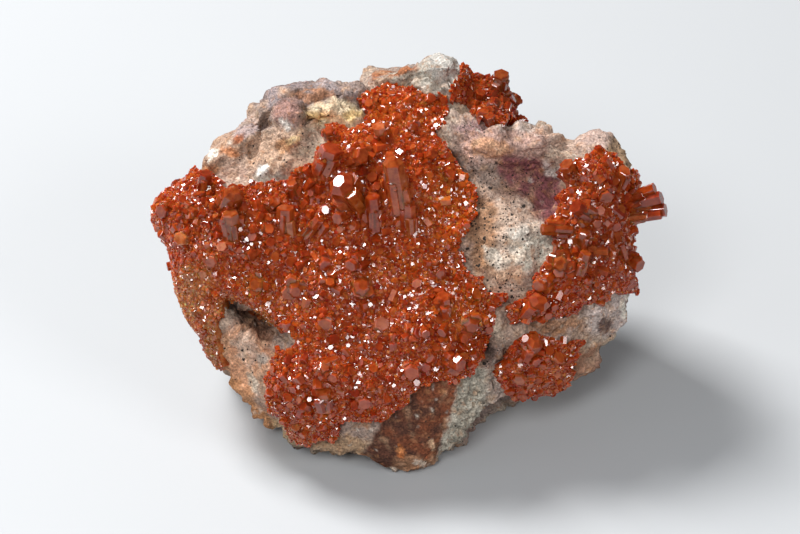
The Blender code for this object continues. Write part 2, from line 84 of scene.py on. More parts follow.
# Swellings and hollows of the bare stone: centre u, v, half width, half height, turn in degrees, rise
RELIEF = (
    (-16.6, 45, 3.4, 2.3, 25, 2.2), (-12.6, 45.9, 3, 2.4, 0, 2.4), (-8.8, 46.2, 2.9, 2.2, 0, 2.4),
    (-6.2, 45.4, 1.8, 1.8, 0, 1.6), (-13.8, 42, 3.1, 2.9, 10, 3.2), (-10.6, 44.1, 2.4, 1.4, 0, 1.6),
    (-22.6, 38.9, 2.6, 2, 40, 1.5), (-19.6, 41, 2.4, 1.8, 30, 1.6), (-12, 38.5, 7.5, 3.2, 8, 1.6),
    (4, 48.4, 4.6, 2.9, -8, 3), (-1.8, 48.3, 3.6, 1.4, 3, 1.8), (11.2, 40.4, 7.2, 3.8, -4, 3.4),
    (16.3, 40.4, 2.4, 2.4, 0, 1.2), (23.6, 38.6, 5, 4.4, 0, 3), (14.6, 34.4, 5.4, 4, -35, -1.8),
    (12.4, 27.6, 5.2, 7, 0, 1.2), (-17.8, 18.8, 1.5, 4.4, 57, -4.6), (-19.6, 13.8, 5, 5.2, 0, -1.6),
    (24.8, 19.6, 3.4, 3.6, 0, 1.8), (24.4, 17.8, 1.1, 1.7, 20, -1.7), (9.6, 16, 1.6, 3, 10, -1.8),
    (-21.8, 28, 9, 7, 0, 1.2), (21.5, 29, 6, 8.5, 0, 1.8),
)
BREAKS = (  # a point on each flat break, where it looks and how flat it is
    ((-1.6, 0, 0.2), (-0.1, -0.54, 0.83), 0.9),
    ((8, 5.2, 0.6), (0.45, -0.55, 0.72), 0.9),
    ((-11, 4.6, 2.4), (-0.45, -0.72, 0.52), 0.7),
    ((-14, 38, -14.5), (-0.45, 0.55, -0.7), 0.9),
    ((10, 40, -14), (0.35, 0.66, -0.66), 0.9),
    ((22, 26, -12), (0.8, 0.05, -0.6), 0.9),
    ((21, 14, -8), (0.74, -0.5, -0.45), 0.8),
    ((-23.5, 20, -11), (-0.86, -0.18, -0.48), 0.9),
    ((-16, 26, -19.5), (-0.6, 0.1, -0.79), 0.9),
    ((3, 30, -23.5), (0.12, 0.3, -0.95), 0.9),
)

# The crusts' outlines: u, v
MAIN_CRUST = (
    (-34, 32.4), (-33, 36), (-29.8, 37.4), (-26.2, 36.9), (-22.8, 36.5), (-20.4, 34.7), (-15.6, 35.2),
    (-12.7, 36.1), (-10.7, 37.1), (-10.6, 38.3), (-9.2, 39.6), (-10.2, 40.7), (-9.4, 42), (-7.9, 41.8),
    (-6.5, 40.8), (-5.2, 41.5), (-5, 43.4), (-5.8, 44.6), (-5, 45.4), (-3.2, 46), (-1.2, 46.8),
    (0.4, 46.2), (3, 45.3), (4.7, 45.6), (5.2, 44.4), (4.8, 42), (3.6, 41.2), (4.6, 39), (6.5, 37.2),
    (8.2, 34.2), (8.6, 31.7), (7.2, 29.2), (6.6, 27.2), (7.3, 24.8), (9, 23.6), (9.6, 22.6), (11.6, 22.4),
    (12.1, 21.5), (10.6, 20.3), (10.7, 18.7), (9.6, 16.9), (8.8, 14.6), (7.9, 13.1), (5, 12),
    (1.7, 11.6), (0, 9.2), (-1.8, 7.6), (-7.4, 7.1), (-7.9, 5.3), (-11, 4.6), (-12.7, 4.8), (-13.4, 5.6),
    (-14, 7), (-15.7, 8.3), (-16.5, 10.4), (-16.1, 13.2), (-14.8, 15.2), (-12.7, 16.7), (-15.1, 17.8),
    (-17.3, 19), (-19.1, 20.5), (-20.9, 21.1), (-21.5, 19.8), (-21.8, 17), (-21.4, 14.5), (-22.4, 11),
    (-26, 11.6), (-30, 18), (-32.6, 26),
)
RIGHT_CRUST = (
    (22.1, 39.4), (23.6, 39), (24.8, 37.8), (25.7, 36.1), (26.9, 36.7), (28.6, 37.2), (33, 37.6),
    (34, 32), (33, 27), (32, 22), (27.4, 21.9), (24.8, 22.1), (22.8, 21.2), (20.8, 20.5),
    (19.9, 19.3), (17.5, 19.1), (15.5, 18.6), (13.6, 18.3), (11.8, 18.7), (11.6, 20.2), (13.3, 21.7),
    (15.1, 22.4), (14.6, 23.8), (16.1, 26), (17.3, 27.2), (17.4, 28.9), (16.2, 29.9), (16.6, 31.1),
    (17.6, 31.9), (17.2, 33.5), (18.5, 34.7), (17.6, 36.5), (18.7, 37.4), (20.6, 38.3),
)
LOWER_CRUST = (
    (13, 16.6), (13.8, 17.4), (15.2, 17.6), (16.4, 17.2), (18.5, 16.8), (20.5, 16.9), (20.9, 15.6),
    (20, 13.8), (19.2, 11.6), (18.6, 8.6), (14.4, 7.6), (12.2, 9.8), (10.6, 11.8), (10.1, 13.3),
    (11.3, 14.8), (12, 15.8),
)
TOP_CRUST = (
    (4.9, 46.2), (6.4, 48.2), (8, 50.6), (11.4, 51.6), (15, 50), (15.6, 46), (14.5, 42.7),
    (13.4, 41.9), (11.2, 41.6), (8.8, 42), (7.9, 43.3), (6.6, 44.2), (5.1, 44.8),
)
CRUST_RISE = 1.5
CRUST_SWELLINGS = (
    (-4.5, 36, 9, 7.5, 20, 2), (2.5, 29, 5.5, 9, 0, 0.9), (-21, 30, 8, 4.5, -15, 0.9),
    (-9, 24, 9, 4, -20, 0.5), (4, 18, 6, 5, 0, 0.9), (-9, 11.5, 6.5, 4.5, 10, 0.8),
    (22, 33, 5, 5.5, 0, 1.2), (20.5, 25, 5, 3.6, 0, 1), (13.9, 20.6, 2.2, 2, 0, 0.5),
    (15.4, 13.6, 4, 3.4, 0, 0.8), (11, 46, 3.6, 3, -30, 1.4),
)
SINKS = 1.2  # how deep in the stone a crust lies where it ends
CRUST_ABOVE_GROUND = 2.4
RIM_THINS_TO = 0.7
RIM_THINS_OVER = 4
ENDS_OVER = 2

# The crystals that stand out by size: foot u, v, radius, length, lean from the face's normal and its heading
MAIN_CRYSTALS = (
    (-0.8, 33, 1.6, 5.6, 60, 100), (-6.6, 33.6, 1.9, 3.4, 36, 128), (-3.7, 30.8, 1.1, 3, 60, 95),
    (-9.6, 37.4, 1.35, 2.4, 50, 65), (-6, 38, 1.2, 1.6, 35, 20), (-2.8, 40.6, 1, 1.6, 48, 110),
    (0.4, 30.2, 1, 2.6, 60, 90), (-7.2, 31.4, 0.9, 1.5, 40, 210), (-8.9, 40.8, 0.8, 1.4, 45, 110),
    (-0.7, 46.8, 1, 1.8, 50, 90), (2.6, 45, 0.8, 1.3, 40, 40), (-4, 44.6, 0.8, 1.2, 40, 160),
    (0.6, 42.2, 0.8, 1.3, 35, 300), (2.2, 38, 0.8, 1.6, 45, 30), (5, 35.8, 0.75, 1.3, 40, 60),
    (-21, 32.6, 1.5, 2.5, 42, 62), (-20.4, 29.6, 1.25, 2.2, 58, 100), (-14.2, 29.8, 1.1, 2.6, 60, 90),
    (-16.2, 32.3, 0.8, 1.5, 45, 40), (-11.6, 29.2, 0.85, 2.3, 65, 50), (-13.3, 33.8, 0.9, 1.6, 50, 100),
    (-24, 34.6, 0.9, 2, 55, 80), (-26, 32.2, 0.9, 1.6, 48, 330), (-28.6, 32, 1, 1.4, 40, 200),
    (-26.4, 28.6, 1, 1.2, 35, 190), (-18.5, 27, 0.8, 1.3, 45, 320), (-23, 26, 0.9, 1, 30, 250),
    (-17.6, 23.2, 1.5, 1.1, 22, 200), (-13, 22.6, 1.6, 1.2, 26, 270), (-10, 26.2, 1.1, 1.5, 38, 300),
    (-5.6, 26, 1.1, 1.7, 42, 215), (-5.2, 22.8, 1.5, 1.4, 18, 60), (-9.4, 18.8, 1.1, 1.2, 30, 240),
    (-3, 18.4, 1.2, 1.1, 25, 30), (4.2, 24.7, 0.85, 1.2, 35, 250), (7.8, 21.8, 0.9, 1.4, 38, 30),
    (4.6, 20.4, 1.1, 1.8, 48, 100), (7.6, 18.4, 1.5, 1.3, 25, 290), (5.2, 14.4, 1.1, 1.8, 50, 330),
    (0.7, 13.2, 1.3, 1.4, 32, 260), (1.2, 17.4, 0.9, 1.2, 30, 20), (-4.9, 9.6, 1, 1.3, 42, 270),
    (-9.6, 9.4, 1.2, 1.6, 48, 100), (-10, 13.2, 0.9, 1.3, 45, 40),
)
RIGHT_CRYSTALS = (
    (18.8, 29.6, 0.9, 2.8, 74, 180), (25.6, 26.9, 0.8, 2.8, 68, 110), (21.2, 31.6, 1.1, 1.8, 50, 150),
    (20.8, 28.2, 0.9, 1.5, 50, 80), (26.8, 33.5, 0.85, 3, 66, 22), (27, 32.6, 0.95, 3.5, 68, 14),
    (27.2, 31.6, 1, 3.7, 70, 6), (26.6, 30.9, 0.7, 3.7, 72, 8), (27.6, 32.4, 0.8, 2.2, 52, 10),
    (25.4, 35.4, 1, 1.6, 48, 70), (26.6, 26, 1, 1.6, 50, 330),
    (20.6, 25, 0.8, 2.2, 55, 75), (18.4, 25.6, 1.6, 1.4, 25, 200), (16.4, 23.6, 1.1, 1.5, 40, 220),
    (15, 20.4, 1.5, 2, 38, 45), (19.6, 36.2, 1, 1.7, 48, 120), (23.4, 33.8, 1.1, 1.4, 32, 300),
)
LOWER_CRYSTALS = (
    (14.6, 15.8, 1.4, 1.7, 40, 60), (13.6, 12.2, 1, 1.3, 38, 250), (17.8, 14.4, 1, 1.2, 38, 10),
)
TOP_CRYSTALS = (
    (11.2, 47, 1.2, 1.8, 42, 80), (12.8, 45.2, 0.9, 1.4, 42, 10), (10.4, 44.2, 0.9, 1.2, 42, 250),
)

# Fine detail
STONE_GRID = 122  # squares along one side of each of the six faces that the stone's ball is made of
GROUND_GRID = 84
FRONT_BIAS = 0.45  # how far the balls' points crowd towards the face
LUMPS = ((3, 1), (1.5, 0.5), (0.8, 0.3))  # span and height of the rounded lumps of the bare stone
BACK_LUMPS = ((7, 1), (3.6, 0.5))
SAND = ((1.6, 0.16), (0.8, 0.13), (0.42, 0.1))
RAGGED = ((1.6, 0.3), (0.7, 0.22))
WRINKLES = ((1.7, 0.7), (0.8, 0.34))  # of the grey break
GROUND_OCTAVES = ((2.2, 0.22), (1, 0.16))
GRAIN = 0.07  # height of the crust ground's sugary grain
GROUND_BELOW = 0.25  # how far the ground lies under the crust's full height, which the crystals make up
GROUND_ROOT = 0.6  # how deep the ground reaches into the stone
EDGE_WANDERS = 0.55
THINNEST_CRUST = 0.3
RIM_TRIM = 0.6  # the lumps stand on a stone this much smaller at its rim
FACE_ENDS = -6  # the face's own detail doesn't reach further back
BREAK_SOFT = 0.4
BLOCK_SOFT = 0.25
PIT_DEPTH = 0.5
SLAB_FLATNESS = 0.7

# The stone's colours, laid one over the next: centre u, v, half width, half height, turn, colour, strength;
# the dark rows in its clefts and hollows are painted shade
STONE_BASE = (0.4, 0.285, 0.22)
STONE_SHADE = (0.27, 0.2, 0.17)
STONE_PAINT = (
    (-12.7, 46, 8, 2.6, 5, (0.18, 0.135, 0.125), 0.95),
    (-13.4, 39, 8.2, 3.4, 8, (0.46, 0.305, 0.215), 1),
    (-11, 39.9, 2.4, 2.6, 0, (0.47, 0.39, 0.3), 0.8),
    (-13.9, 43.4, 2.4, 2, 0, (0.31, 0.175, 0.145), 1),
    (-15.8, 45.7, 1.7, 1.4, 20, (0.26, 0.21, 0.21), 0.9),
    (-13, 46.9, 1.8, 0.9, 0, (0.25, 0.2, 0.2), 0.9),
    (-9.3, 47, 1.9, 1.1, 0, (0.29, 0.235, 0.23), 0.9),
    (-6.1, 46.3, 1.4, 1.2, 0, (0.28, 0.21, 0.19), 0.9),
    (-11.2, 45.5, 3.4, 0.8, 3, (0.31, 0.15, 0.085), 0.9),
    (-13.9, 42.4, 1.1, 0.8, 0, (0.6, 0.56, 0.5), 0.8),
    # painted shade: near black in the cleft beside the cream block
    (-11.8, 43.3, 0.6, 1.6, 8, (0.12, 0.07, 0.05), 0.9),
    (-22.9, 39, 4.6, 3.4, 35, (0.37, 0.235, 0.165), 0.8),
    (-18.9, 41.6, 2.2, 1.3, 20, (0.38, 0.29, 0.28), 0.8),
    (-19.9, 40.8, 1, 0.7, 0, (0.42, 0.13, 0.05), 0.9),
    # painted shade: near black in a cleft
    (-16.9, 42, 0.7, 1, 0, (0.1, 0.05, 0.03), 0.9),
    (-21.1, 39, 1.1, 0.8, 0, (0.44, 0.16, 0.06), 0.8),
    (-23.2, 38.5, 1.1, 1, 0, (0.76, 0.72, 0.63), 1),
    (-23.6, 36.7, 1.8, 0.9, 20, (0.42, 0.17, 0.06), 0.7),
    (-14.5, 39.6, 1.6, 0.8, 50, (0.48, 0.22, 0.09), 0.8),
    (-13.2, 40.4, 0.9, 0.6, 0, (0.62, 0.43, 0.2), 0.7),
    # painted shade: near black in a cleft
    (-18.7, 39, 0.4, 1, 10, (0.08, 0.05, 0.04), 0.9),
    (-17.2, 36.3, 1.1, 0.8, 0, (0.82, 0.8, 0.74), 1),
    (-16, 35.6, 2.8, 0.6, 0, (0.36, 0.34, 0.28), 0.8),
    (4.2, 48.4, 5.2, 2.7, -6, (0.42, 0.375, 0.315), 1),
    (-1.8, 48.7, 3.8, 0.9, 4, (0.3, 0.11, 0.048), 1),
    (-0.4, 48, 2.6, 0.7, 6, (0.44, 0.4, 0.33), 0.9),
    (11.4, 40, 7.2, 3.8, -4, (0.41, 0.255, 0.21), 0.9),
    (13.7, 42, 3.2, 1.4, -4, (0.46, 0.37, 0.32), 0.9),
    (10.1, 39.2, 3.4, 1.6, -10, (0.55, 0.28, 0.16), 0.85),
    (5.9, 38.6, 1.2, 3.2, 0, (0.15, 0.09, 0.07), 0.8),
    (7.7, 41.7, 2.3, 1, 0, (0.2, 0.12, 0.12), 0.8),
    (14.8, 35.6, 5.4, 3, -34, (0.19, 0.066, 0.07), 1),
    (16.9, 32.6, 2.8, 3.2, 0, (0.19, 0.064, 0.068), 1),
    (17.3, 36.6, 1.3, 1, 0, (0.5, 0.42, 0.38), 0.9),
    (11.9, 28.6, 5.2, 6, 0, (0.48, 0.35, 0.27), 1),
    (9.2, 29, 2.4, 6.4, 0, (0.3, 0.165, 0.095), 1),
    (10.2, 26.6, 1.6, 1.6, 0, (0.56, 0.5, 0.42), 0.8),
    (14.4, 27.6, 2.8, 4, 0, (0.58, 0.53, 0.46), 0.85),
    (13.2, 25.8, 2.2, 2.2, 0, (0.62, 0.52, 0.42), 0.8),
    (12, 24.4, 2.6, 1.4, 0, (0.62, 0.36, 0.22), 0.6),
    (15.6, 26.8, 2.4, 3.2, 0, (0.42, 0.38, 0.31), 0.8),
    (23, 40.6, 3.6, 2.6, 0, (0.46, 0.33, 0.28), 0.9),
    (26.4, 38.2, 2.4, 3.6, 35, (0.38, 0.25, 0.15), 0.9),
    (24.6, 19.6, 3.8, 3.8, 0, (0.46, 0.38, 0.35), 0.9),
    (26.7, 20.8, 0.8, 3.2, 0, (0.68, 0.64, 0.56), 0.9),
    # painted shade: near black in a hollow
    (24.2, 17.8, 1.1, 1.6, 20, (0.1, 0.05, 0.04), 0.9),
    (22.2, 13.6, 4.4, 2.8, 25, (0.26, 0.12, 0.07), 0.9),
    (18, 18.2, 4.4, 1, 0, (0.34, 0.17, 0.09), 0.8),
    # painted shade: dark in a hollow, with black specks laid over it later
    (10, 15.4, 1.8, 3.4, 10, (0.17, 0.11, 0.09), 0.9),
    (-7.9, 3.8, 5, 1.8, 0, (0.34, 0.22, 0.13), 0.9),
    (-18.9, 14.4, 4.4, 5.2, 0, (0.64, 0.335, 0.195), 0.95),
    (-22.2, 12.2, 1.6, 4.6, 22, (0.39, 0.16, 0.06), 1),
    (-19.6, 8.2, 1.5, 3.6, 42, (0.42, 0.19, 0.08), 1),
    (-16.4, 6, 3, 1.9, -50, (0.42, 0.2, 0.09), 0.9),
    (-19.2, 15.4, 1.8, 2.6, 20, (0.66, 0.5, 0.4), 0.8),
    (-17, 14.6, 1.2, 1.2, 0, (0.5, 0.44, 0.38), 0.8),
    (-18.4, 11.4, 0.9, 2.2, 15, (0.58, 0.5, 0.4), 0.8),
    (-17.2, 17.2, 2, 1, -35, (0.34, 0.18, 0.12), 0.8),
    (-14.6, 5.6, 3.2, 1.8, -35, (0.42, 0.3, 0.17), 0.8),
    # painted shade: the next two rows darken the hollow under the crust's lip, near black at its deepest
    (-18.4, 19.4, 3.8, 1.6, -35, (0.16, 0.07, 0.04), 0.9),
    (-20.4, 20.8, 1.2, 0.9, 0, (0.04, 0.02, 0.014), 1),
)

# Blotches of the stone, its bare back and over all else: colour, strength, span, gain, rarity and seed
WHOLE_BLOTCHES = (((0.5, 0.4, 0.3), 0.7, 6, 2, 0.2, 61), ((0.3, 0.15, 0.1), 0.6, 5, 2, 0.4, 62))
BACK_BLOTCHES = (
    ((0.22, 0.11, 0.07), 0.75, 7, 2.2, 0.15, 74), ((0.55, 0.46, 0.35), 0.65, 5, 2.2, 0.3, 75),
    ((0.13, 0.105, 0.095), 0.6, 3.5, 2.2, 0.8, 76), ((0.42, 0.19, 0.08), 0.6, 2.2, 2.2, 0.9, 77),
)
LATE_BLOTCHES = (((0.5, 0.24, 0.1), 0.45, 1.4, 2.2, 0.9, 68), ((0.78, 0.72, 0.62), 0.5, 0.9, 2.4, 1.2, 69))
TINT_WARP = ((3, 0.8), (1, 0.5), (0.45, 0.25))
PAINT_REACHES = 3.5  # how far behind the rim the face's colours go
LOW_LEFT, LOW_LEFT_REACHES = (-18.5, 9, 5, 8, 35), 6  # where they go further, and how much
SMALL_SPOT = 1.3  # smaller spots than this end nearer the rim
BORDER_SOFT = 0.2
BLOCKS = (  # raised slabs: outline, rise and colour
    (((-11.8, 43.6), (-10.9, 44.6), (-8.5, 45.1), (-6.1, 44.7), (-4.8, 43.8), (-5, 42.2), (-6.7, 41.4),
      (-9.1, 41.6), (-11.3, 42.1)), 1.5, (0.62, 0.5, 0.34)),
    (((2.4, 49), (3, 51.6), (7.2, 51.4), (8.6, 49), (7, 47), (4.4, 46.4)), 0.1, (0.45, 0.42, 0.38)),
)
BLOCK_FACES = (  # the top slab's flat faces: where they look and how far they lie from its middle
    ((-0.75, 0.25, 0.6), 1), ((0.05, -0.1, 1), 0.5), ((0.6, 0.1, 0.8), 0.8), ((0.42, 0.88, 0.2), 0.9),
    ((-0.25, 0.75, 0.6), 0.9), ((0.3, -0.7, 0.65), 0.9),
)
KNOBS = (  # small swellings and clefts of the bare stone's top left and of the boulder
    (-13.9, 43.4, 2.2, 1.8, 0, 1.2), (-15.8, 45.4, 1.5, 1.2, 20, 0.5), (-13, 46.5, 1.7, 0.9, 0, 0.4),
    (-9.3, 46.6, 1.8, 1, 0, 0.5), (-6.1, 46.1, 1.3, 1.1, 0, 0.5), (-19, 41.4, 1.8, 1.2, 25, 0.4),
    (-11.75, 43.2, 0.5, 1.7, 8, -1.3), (-11.4, 45.1, 3.2, 0.55, 3, -0.9), (-16.7, 43.2, 0.6, 1.8, -15, -1),
    (-16.9, 42, 0.7, 0.9, 0, -0.8), (-18.7, 39, 0.4, 1, 10, -0.7), (-8, 45.9, 0.5, 0.9, 0, -0.7),
    (15.4, 42.6, 0.5, 1.6, 20, -0.7), (9, 42, 1.8, 0.6, 0, -0.6), (20.6, 38.4, 0.5, 2, 30, -0.5),
)
SMOOTHER = (  # where the stone is less lumpy
    (11.9, 28.6, 5.2, 8, 0, 0.7), (14.6, 35.8, 5, 2.6, -32, 0.8), (-13, 38.6, 8.2, 3.4, 8, 0.5),
)
BROWN_BREAK = (  # the flat breaks at the foot: u, v
    (-5.6, 2.2), (-4.3, 4.4), (-2.2, 8.2), (-0.6, 11), (2, 12.6), (5.6, 12.8), (6, 11), (5.5, 8),
    (4.1, 3.8), (3.5, 1.4), (0.4, 0.4), (-2.6, 0.9),
)
GREY_BREAK = (
    (6, 12.8), (8.6, 13.4), (10.9, 12.4), (12.4, 10.8), (14.6, 9.6), (13, 7), (8, 4), (3.6, 0.6),
    (4.1, 3.8), (5.5, 8), (6, 11),
)
LATE_SPOTS = (  # spots on the cream block, at the foot of the brown break and on the lower left rim
    (-8.9, 43.3, 1.3, 0.8, 0, (0.58, 0.3, 0.15), 0.8), (-10.4, 43, 1.3, 0.8, 0, (0.58, 0.36, 0.12), 0.8),
    (-6.6, 43.4, 1.3, 0.8, 0, (0.5, 0.34, 0.13), 0.8), (0.6, 1.5, 2.8, 1.1, 5, (0.32, 0.16, 0.085), 0.85),
    (-0.5, 3.4, 0.6, 1.5, 15, (0.44, 0.13, 0.035), 0.85), (3.1, 4.2, 0.5, 0.5, 0, (0.6, 0.4, 0.25), 0.8),
    (-1.4, 0.6, 1.1, 0.5, 0, (0.62, 0.52, 0.42), 0.8), (1.9, 1.6, 0.6, 0.5, 0, (0.62, 0.5, 0.4), 0.8),
    (-19.6, 8.6, 1.9, 6.4, 37, (0.44, 0.2, 0.085), 0.8), (-16.6, 10.6, 1, 2.6, 15, (0.46, 0.3, 0.2), 0.6),
    (-20.6, 7.4, 1.6, 1.6, 0, (0.42, 0.31, 0.22), 0.6), (-18.4, 5.2, 1.4, 2.2, 50, (0.27, 0.13, 0.065), 0.6),
)
BROWN, BROWN_RED = (0.09, 0.034, 0.021), (0.17, 0.05, 0.022)
GREY, GREY_PALE, GREY_PINK = (0.28, 0.25, 0.2), (0.42, 0.38, 0.31), (0.46, 0.35, 0.3)
SPECKED = (  # where black specks lie
    (11.6, 26.6, 5, 7.5, 0, 1), (13.5, 34.8, 5, 3, -30, 0.5), (26, 38.6, 2.6, 3.2, 30, 0.9),
    (-13, 38.6, 8, 3.2, 8, 0.3), (10, 15.4, 2, 3.4, 10, 0.8), (-19, 13, 3.6, 4, 0, 0.12),
    (7.8, 41.6, 2.4, 1.2, 0, 0.8), (8.8, 30.4, 1.6, 6, 0, 1.6), (9, 25, 1.3, 3, 0, 1),
    (8.4, 36.6, 1.5, 2.8, 0, 1), (13, 20.6, 2, 2.6, 20, 0.8),
)

# The crusts' colours: deep red-orange, brighter and finer orange here and there, tan on the sugary left rim
CRUST_RED = (0.345, 0.0385, 0.0032)
CRUST_ORANGE = (0.4, 0.057, 0.0035)
CRUST_TAN = (0.36, 0.1, 0.021)
ORANGE_PARTS = (
    (5, 33, 3.6, 7, 0, 1), (6.6, 21, 3.6, 4, 0, 0.7), (0, 25, 5, 3, 0, 0.5),
    (-16, 22, 6, 2, -25, 0.8), (-24, 24, 4, 3.5, 0, 0.7), (0, 43, 5, 3, 0, 0.5),
    (19, 28, 4, 4, 0, 0.5), (18, 13, 3, 3, 0, 0.7), (-12, 17.5, 4, 1.6, -30, 0.6),
)
TAN_PARTS = (
    (-27, 19, 3.4, 9, -22, 1), (-22.6, 16, 1.6, 5, 0, 1), (-21.2, 20.6, 1.6, 1.6, 0, 1),
    (-17.5, 19.6, 3.4, 0.9, -38, 0.8), (-13.4, 5.4, 2.6, 1.4, 0, 0.4),
)
COARSE_PARTS = (  # where the crystals between the large ones are larger
    (-5, 34, 8, 6, 0, 0.26), (-21, 30.5, 8, 4.4, -10, 0.2), (-11, 27, 8, 5, 0, 0.1),
    (-9, 11, 7, 5, 0, 0.13), (4, 16, 7, 5, 0, 0.13), (-0.5, 45, 5, 3, 0, 0.1),
    (22, 30, 6, 9, 0, 0.18), (15, 20, 4, 3, 0, 0.2), (15, 14, 4, 4, 0, 0.13),
    (11, 46, 4, 4, 0, 0.13),
)

# How the crystals differ from the crust's colours, and how much from one another
LARGE_TINT = (0.84, 1.05, 1.7), 0.12
MEDIUM_TINT = (0.9, 1.05, 1.3), 0.1
FINE_TINT = (0.96, 1.03, 1), 0.17
PALER_TURNS = (1, 2.6, 4.5)  # a paler crystal is more orange, a deeper one more red
DEEP, PALE = (0.7, 0.52, 0.34), (1.22, 1.58, 2.4)
DEEPER_PARTS = (  # where the crusts are darker
    (-21, 31.5, 9, 5, -10, 0.18), (22, 30, 7, 10, 0, 0.24), (-4, 34, 7, 4, 0, 0.12),
    (11, 46.5, 5.5, 5, 0, 0.34),
)

# The crystals' sizes, turns and forms; a lean is in degrees
SMALLEST_RADIUS = 0.2
LEVEL_SHARE = 0.16  # of the smaller medium crystals lie with their flat ends nearly level with the face
LEVEL_PARTS = (  # where more of them do
    (-1, 25, 9, 8, 0, 0.18), (-7, 12, 8, 5.5, 0, 0.26), (6, 31, 2.6, 7, 0, 0.16),
)
LEVEL_BELOW = 0.34  # in radius
LEVEL_AXIS = (-0.11, 0.08, 0.99)  # where a flat end sends the front light to the camera
SPARSE_SHARE = 0.4  # of the medium crystals grow where the crust is fine
LARGE_THINNER = 0.88
LARGE_LONGER = 0.2
LOW_BELOW, LOW_SUNK = 1.45, 0.6  # large crystals shorter than this stand this much deeper
SIDE_LENGTHS = (0.72, 0.5, 0.4, 0.6)  # of the crystals grown along each large one, as shares of its length
SMALL_ON_EACH = 9  # small crystals on each large one's lower sides
BLUNT_ABOVE, BLUNT_BEVEL = 1.2, 0.46  # the thickest crystals have broad bevels
LARGE_BARREL = 0.05
MEDIUM_RADII = (0.12, 0.62)
MEDIUM_CLOSENESS = 0.85
FINE_RADIUS = 0.15
MEDIUM_LEAN, LEVEL_LEAN, FINE_LEAN = 75, 11, 80  # the most they lean
LEAN_POWER = 0.9  # below 1, more of them lean far
LONG_SHARE, BLUNT_SHARE = 0.12, 0.08
SQUASH = ((0.78, 1.15), (0.85, 1.1))  # a prism's half widths, as shares of its radius
WIDEST_AT = 0.45
SHOULDER, BEVEL_SLOPE = 0.6, 1.1  # how a barrel and a bevel narrow the end

# The crusts: name, solid, outline, large crystals, how many medium and fine ones, and how many fine meshes
CRUSTS = (
    ("main", "main_crust", MAIN_CRUST, MAIN_CRYSTALS, 9000, 9000, 3),
    ("right", "right_crust", RIGHT_CRUST, RIGHT_CRYSTALS, 2200, 4500, 1),
    ("lower", "lower_crust", LOWER_CRUST, LOWER_CRYSTALS, 900, 1800, 1),
    ("top", "top_crust", TOP_CRUST, TOP_CRYSTALS, 700, 1400, 1),
)

# Materials: noises have a scale and a detail, ranges are spread from their first two values to the next two
GRAIN_NOISE, GRAIN_RANGE, GRAIN_BUMP = (3600, 4), (0.3, 0.7, 0.44, 1.36), 0.00022
RUST, RUST_NOISE, RUST_RANGE = (0.34, 0.15, 0.07, 1), (1900, 3), (0.56, 0.7, 0, 0.5)
CHALK_BRIGHTER, CHALK_NOISE, CHALK_RANGE = 1.8, (2600, 3), (0.58, 0.68, 0, 0.6)
SPECK, SPECK_CELLS = (0.03, 0.022, 0.018, 1), ((1500, 0.42, 0.44), (3200, 0.52, 0.6))  # scale, size and share
STONE_ROUGHNESS, STONE_SHINE = 0.88, 0.25
CLOUD_NOISE, CLOUD_RANGE = (1300, 3), (0.3, 0.7)
LUSTRE_IOR = 1.66
TRANSLUCENCE, TRANSLUCENT_RED = 0.85, (1, 0.3, 0.1)
CRYSTAL_LOOKS = (  # name, roughness and how deep light goes in
    ("crust_ground", 0.18, 0.0005), ("fine_vanadinite", 0.08, 0.0004), ("vanadinite", 0.08, 0.0008),
)

# The stage, in metres, but for the camera's places, which are in the face frame
FLOOR_SIZE, FLOOR_COLOUR, FLOOR_ROUGHNESS = 3, (0.42, 0.43, 0.44, 1), 0.6
LIT_MIDDLE = (0, 0, 0.018)
WHITE, PALE_BLUE = (1, 1, 1), (0.86, 0.94, 1)
LIGHTS = (  # name, place, size, watts and colour
    ("key", (-0.28, 0.22, 0.5), 0.21, 6, WHITE), ("fill", (0.42, -0.3, 0.36), 0.24, 1.4, WHITE),
    ("front", (-0.18, -0.52, 0.62), 0.26, 3.4, WHITE), ("side", (-0.6, -0.26, 0.46), 0.6, 1.25, PALE_BLUE),
)
SKY, SKY_STRENGTH = (0.62, 0.66, 0.75, 1), 0.095
LENS = 180
CAMERA_AT, CAMERA_LOOKS_AT = (-0.72, 25.2, 480), (-0.72, 25.2, 0)

# Noise
CELL_PRIMES = (73856093, 19349663, 83492791)  # they scatter the noise's cells over its table
NOISE_GAIN = 1.6  # brings the noise to a range of about -1 to 1


def smoothstep(x):
    x = np.clip(x, 0, 1)
    return x * x * (3 - 2 * x)


def oval(u, v, centre_u, centre_v, half_u, half_v, turn):
    """From 1 within an oval to 0 outside it, over a soft edge."""
    c, s = math.cos(math.radians(turn)), math.sin(math.radians(turn))
    along = ((u - centre_u) * c + (v - centre_v) * s) / half_u
    across = ((v - centre_v) * c - (u - centre_u) * s) / half_v
    return smoothstep(OVAL_ENDS - np.hypot(along, across))


def mounds(u, v, rows):
    """Smooth oval mounds, one for each row of centre, half sizes, turn and height."""
    total = np.zeros_like(u)
    for *place, height in rows:
        total += height * oval(u, v, *place)
    return total


def unit(vectors):
    return vectors / np.linalg.norm(vectors, axis=-1, keepdims=True)


def to_world(points):
    """Points (u, v, w) of the face frame, in millimetres, as points in metres."""
    u, v, w = np.asarray(points, float).T
    x = u + FOOT_X
    y = v * math.sin(FACE_LEAN) - w * math.cos(FACE_LEAN) + FOOT_Y
    z = v * math.cos(FACE_LEAN) + w * math.sin(FACE_LEAN)
    return np.stack([x, y, z], axis=1) * MM


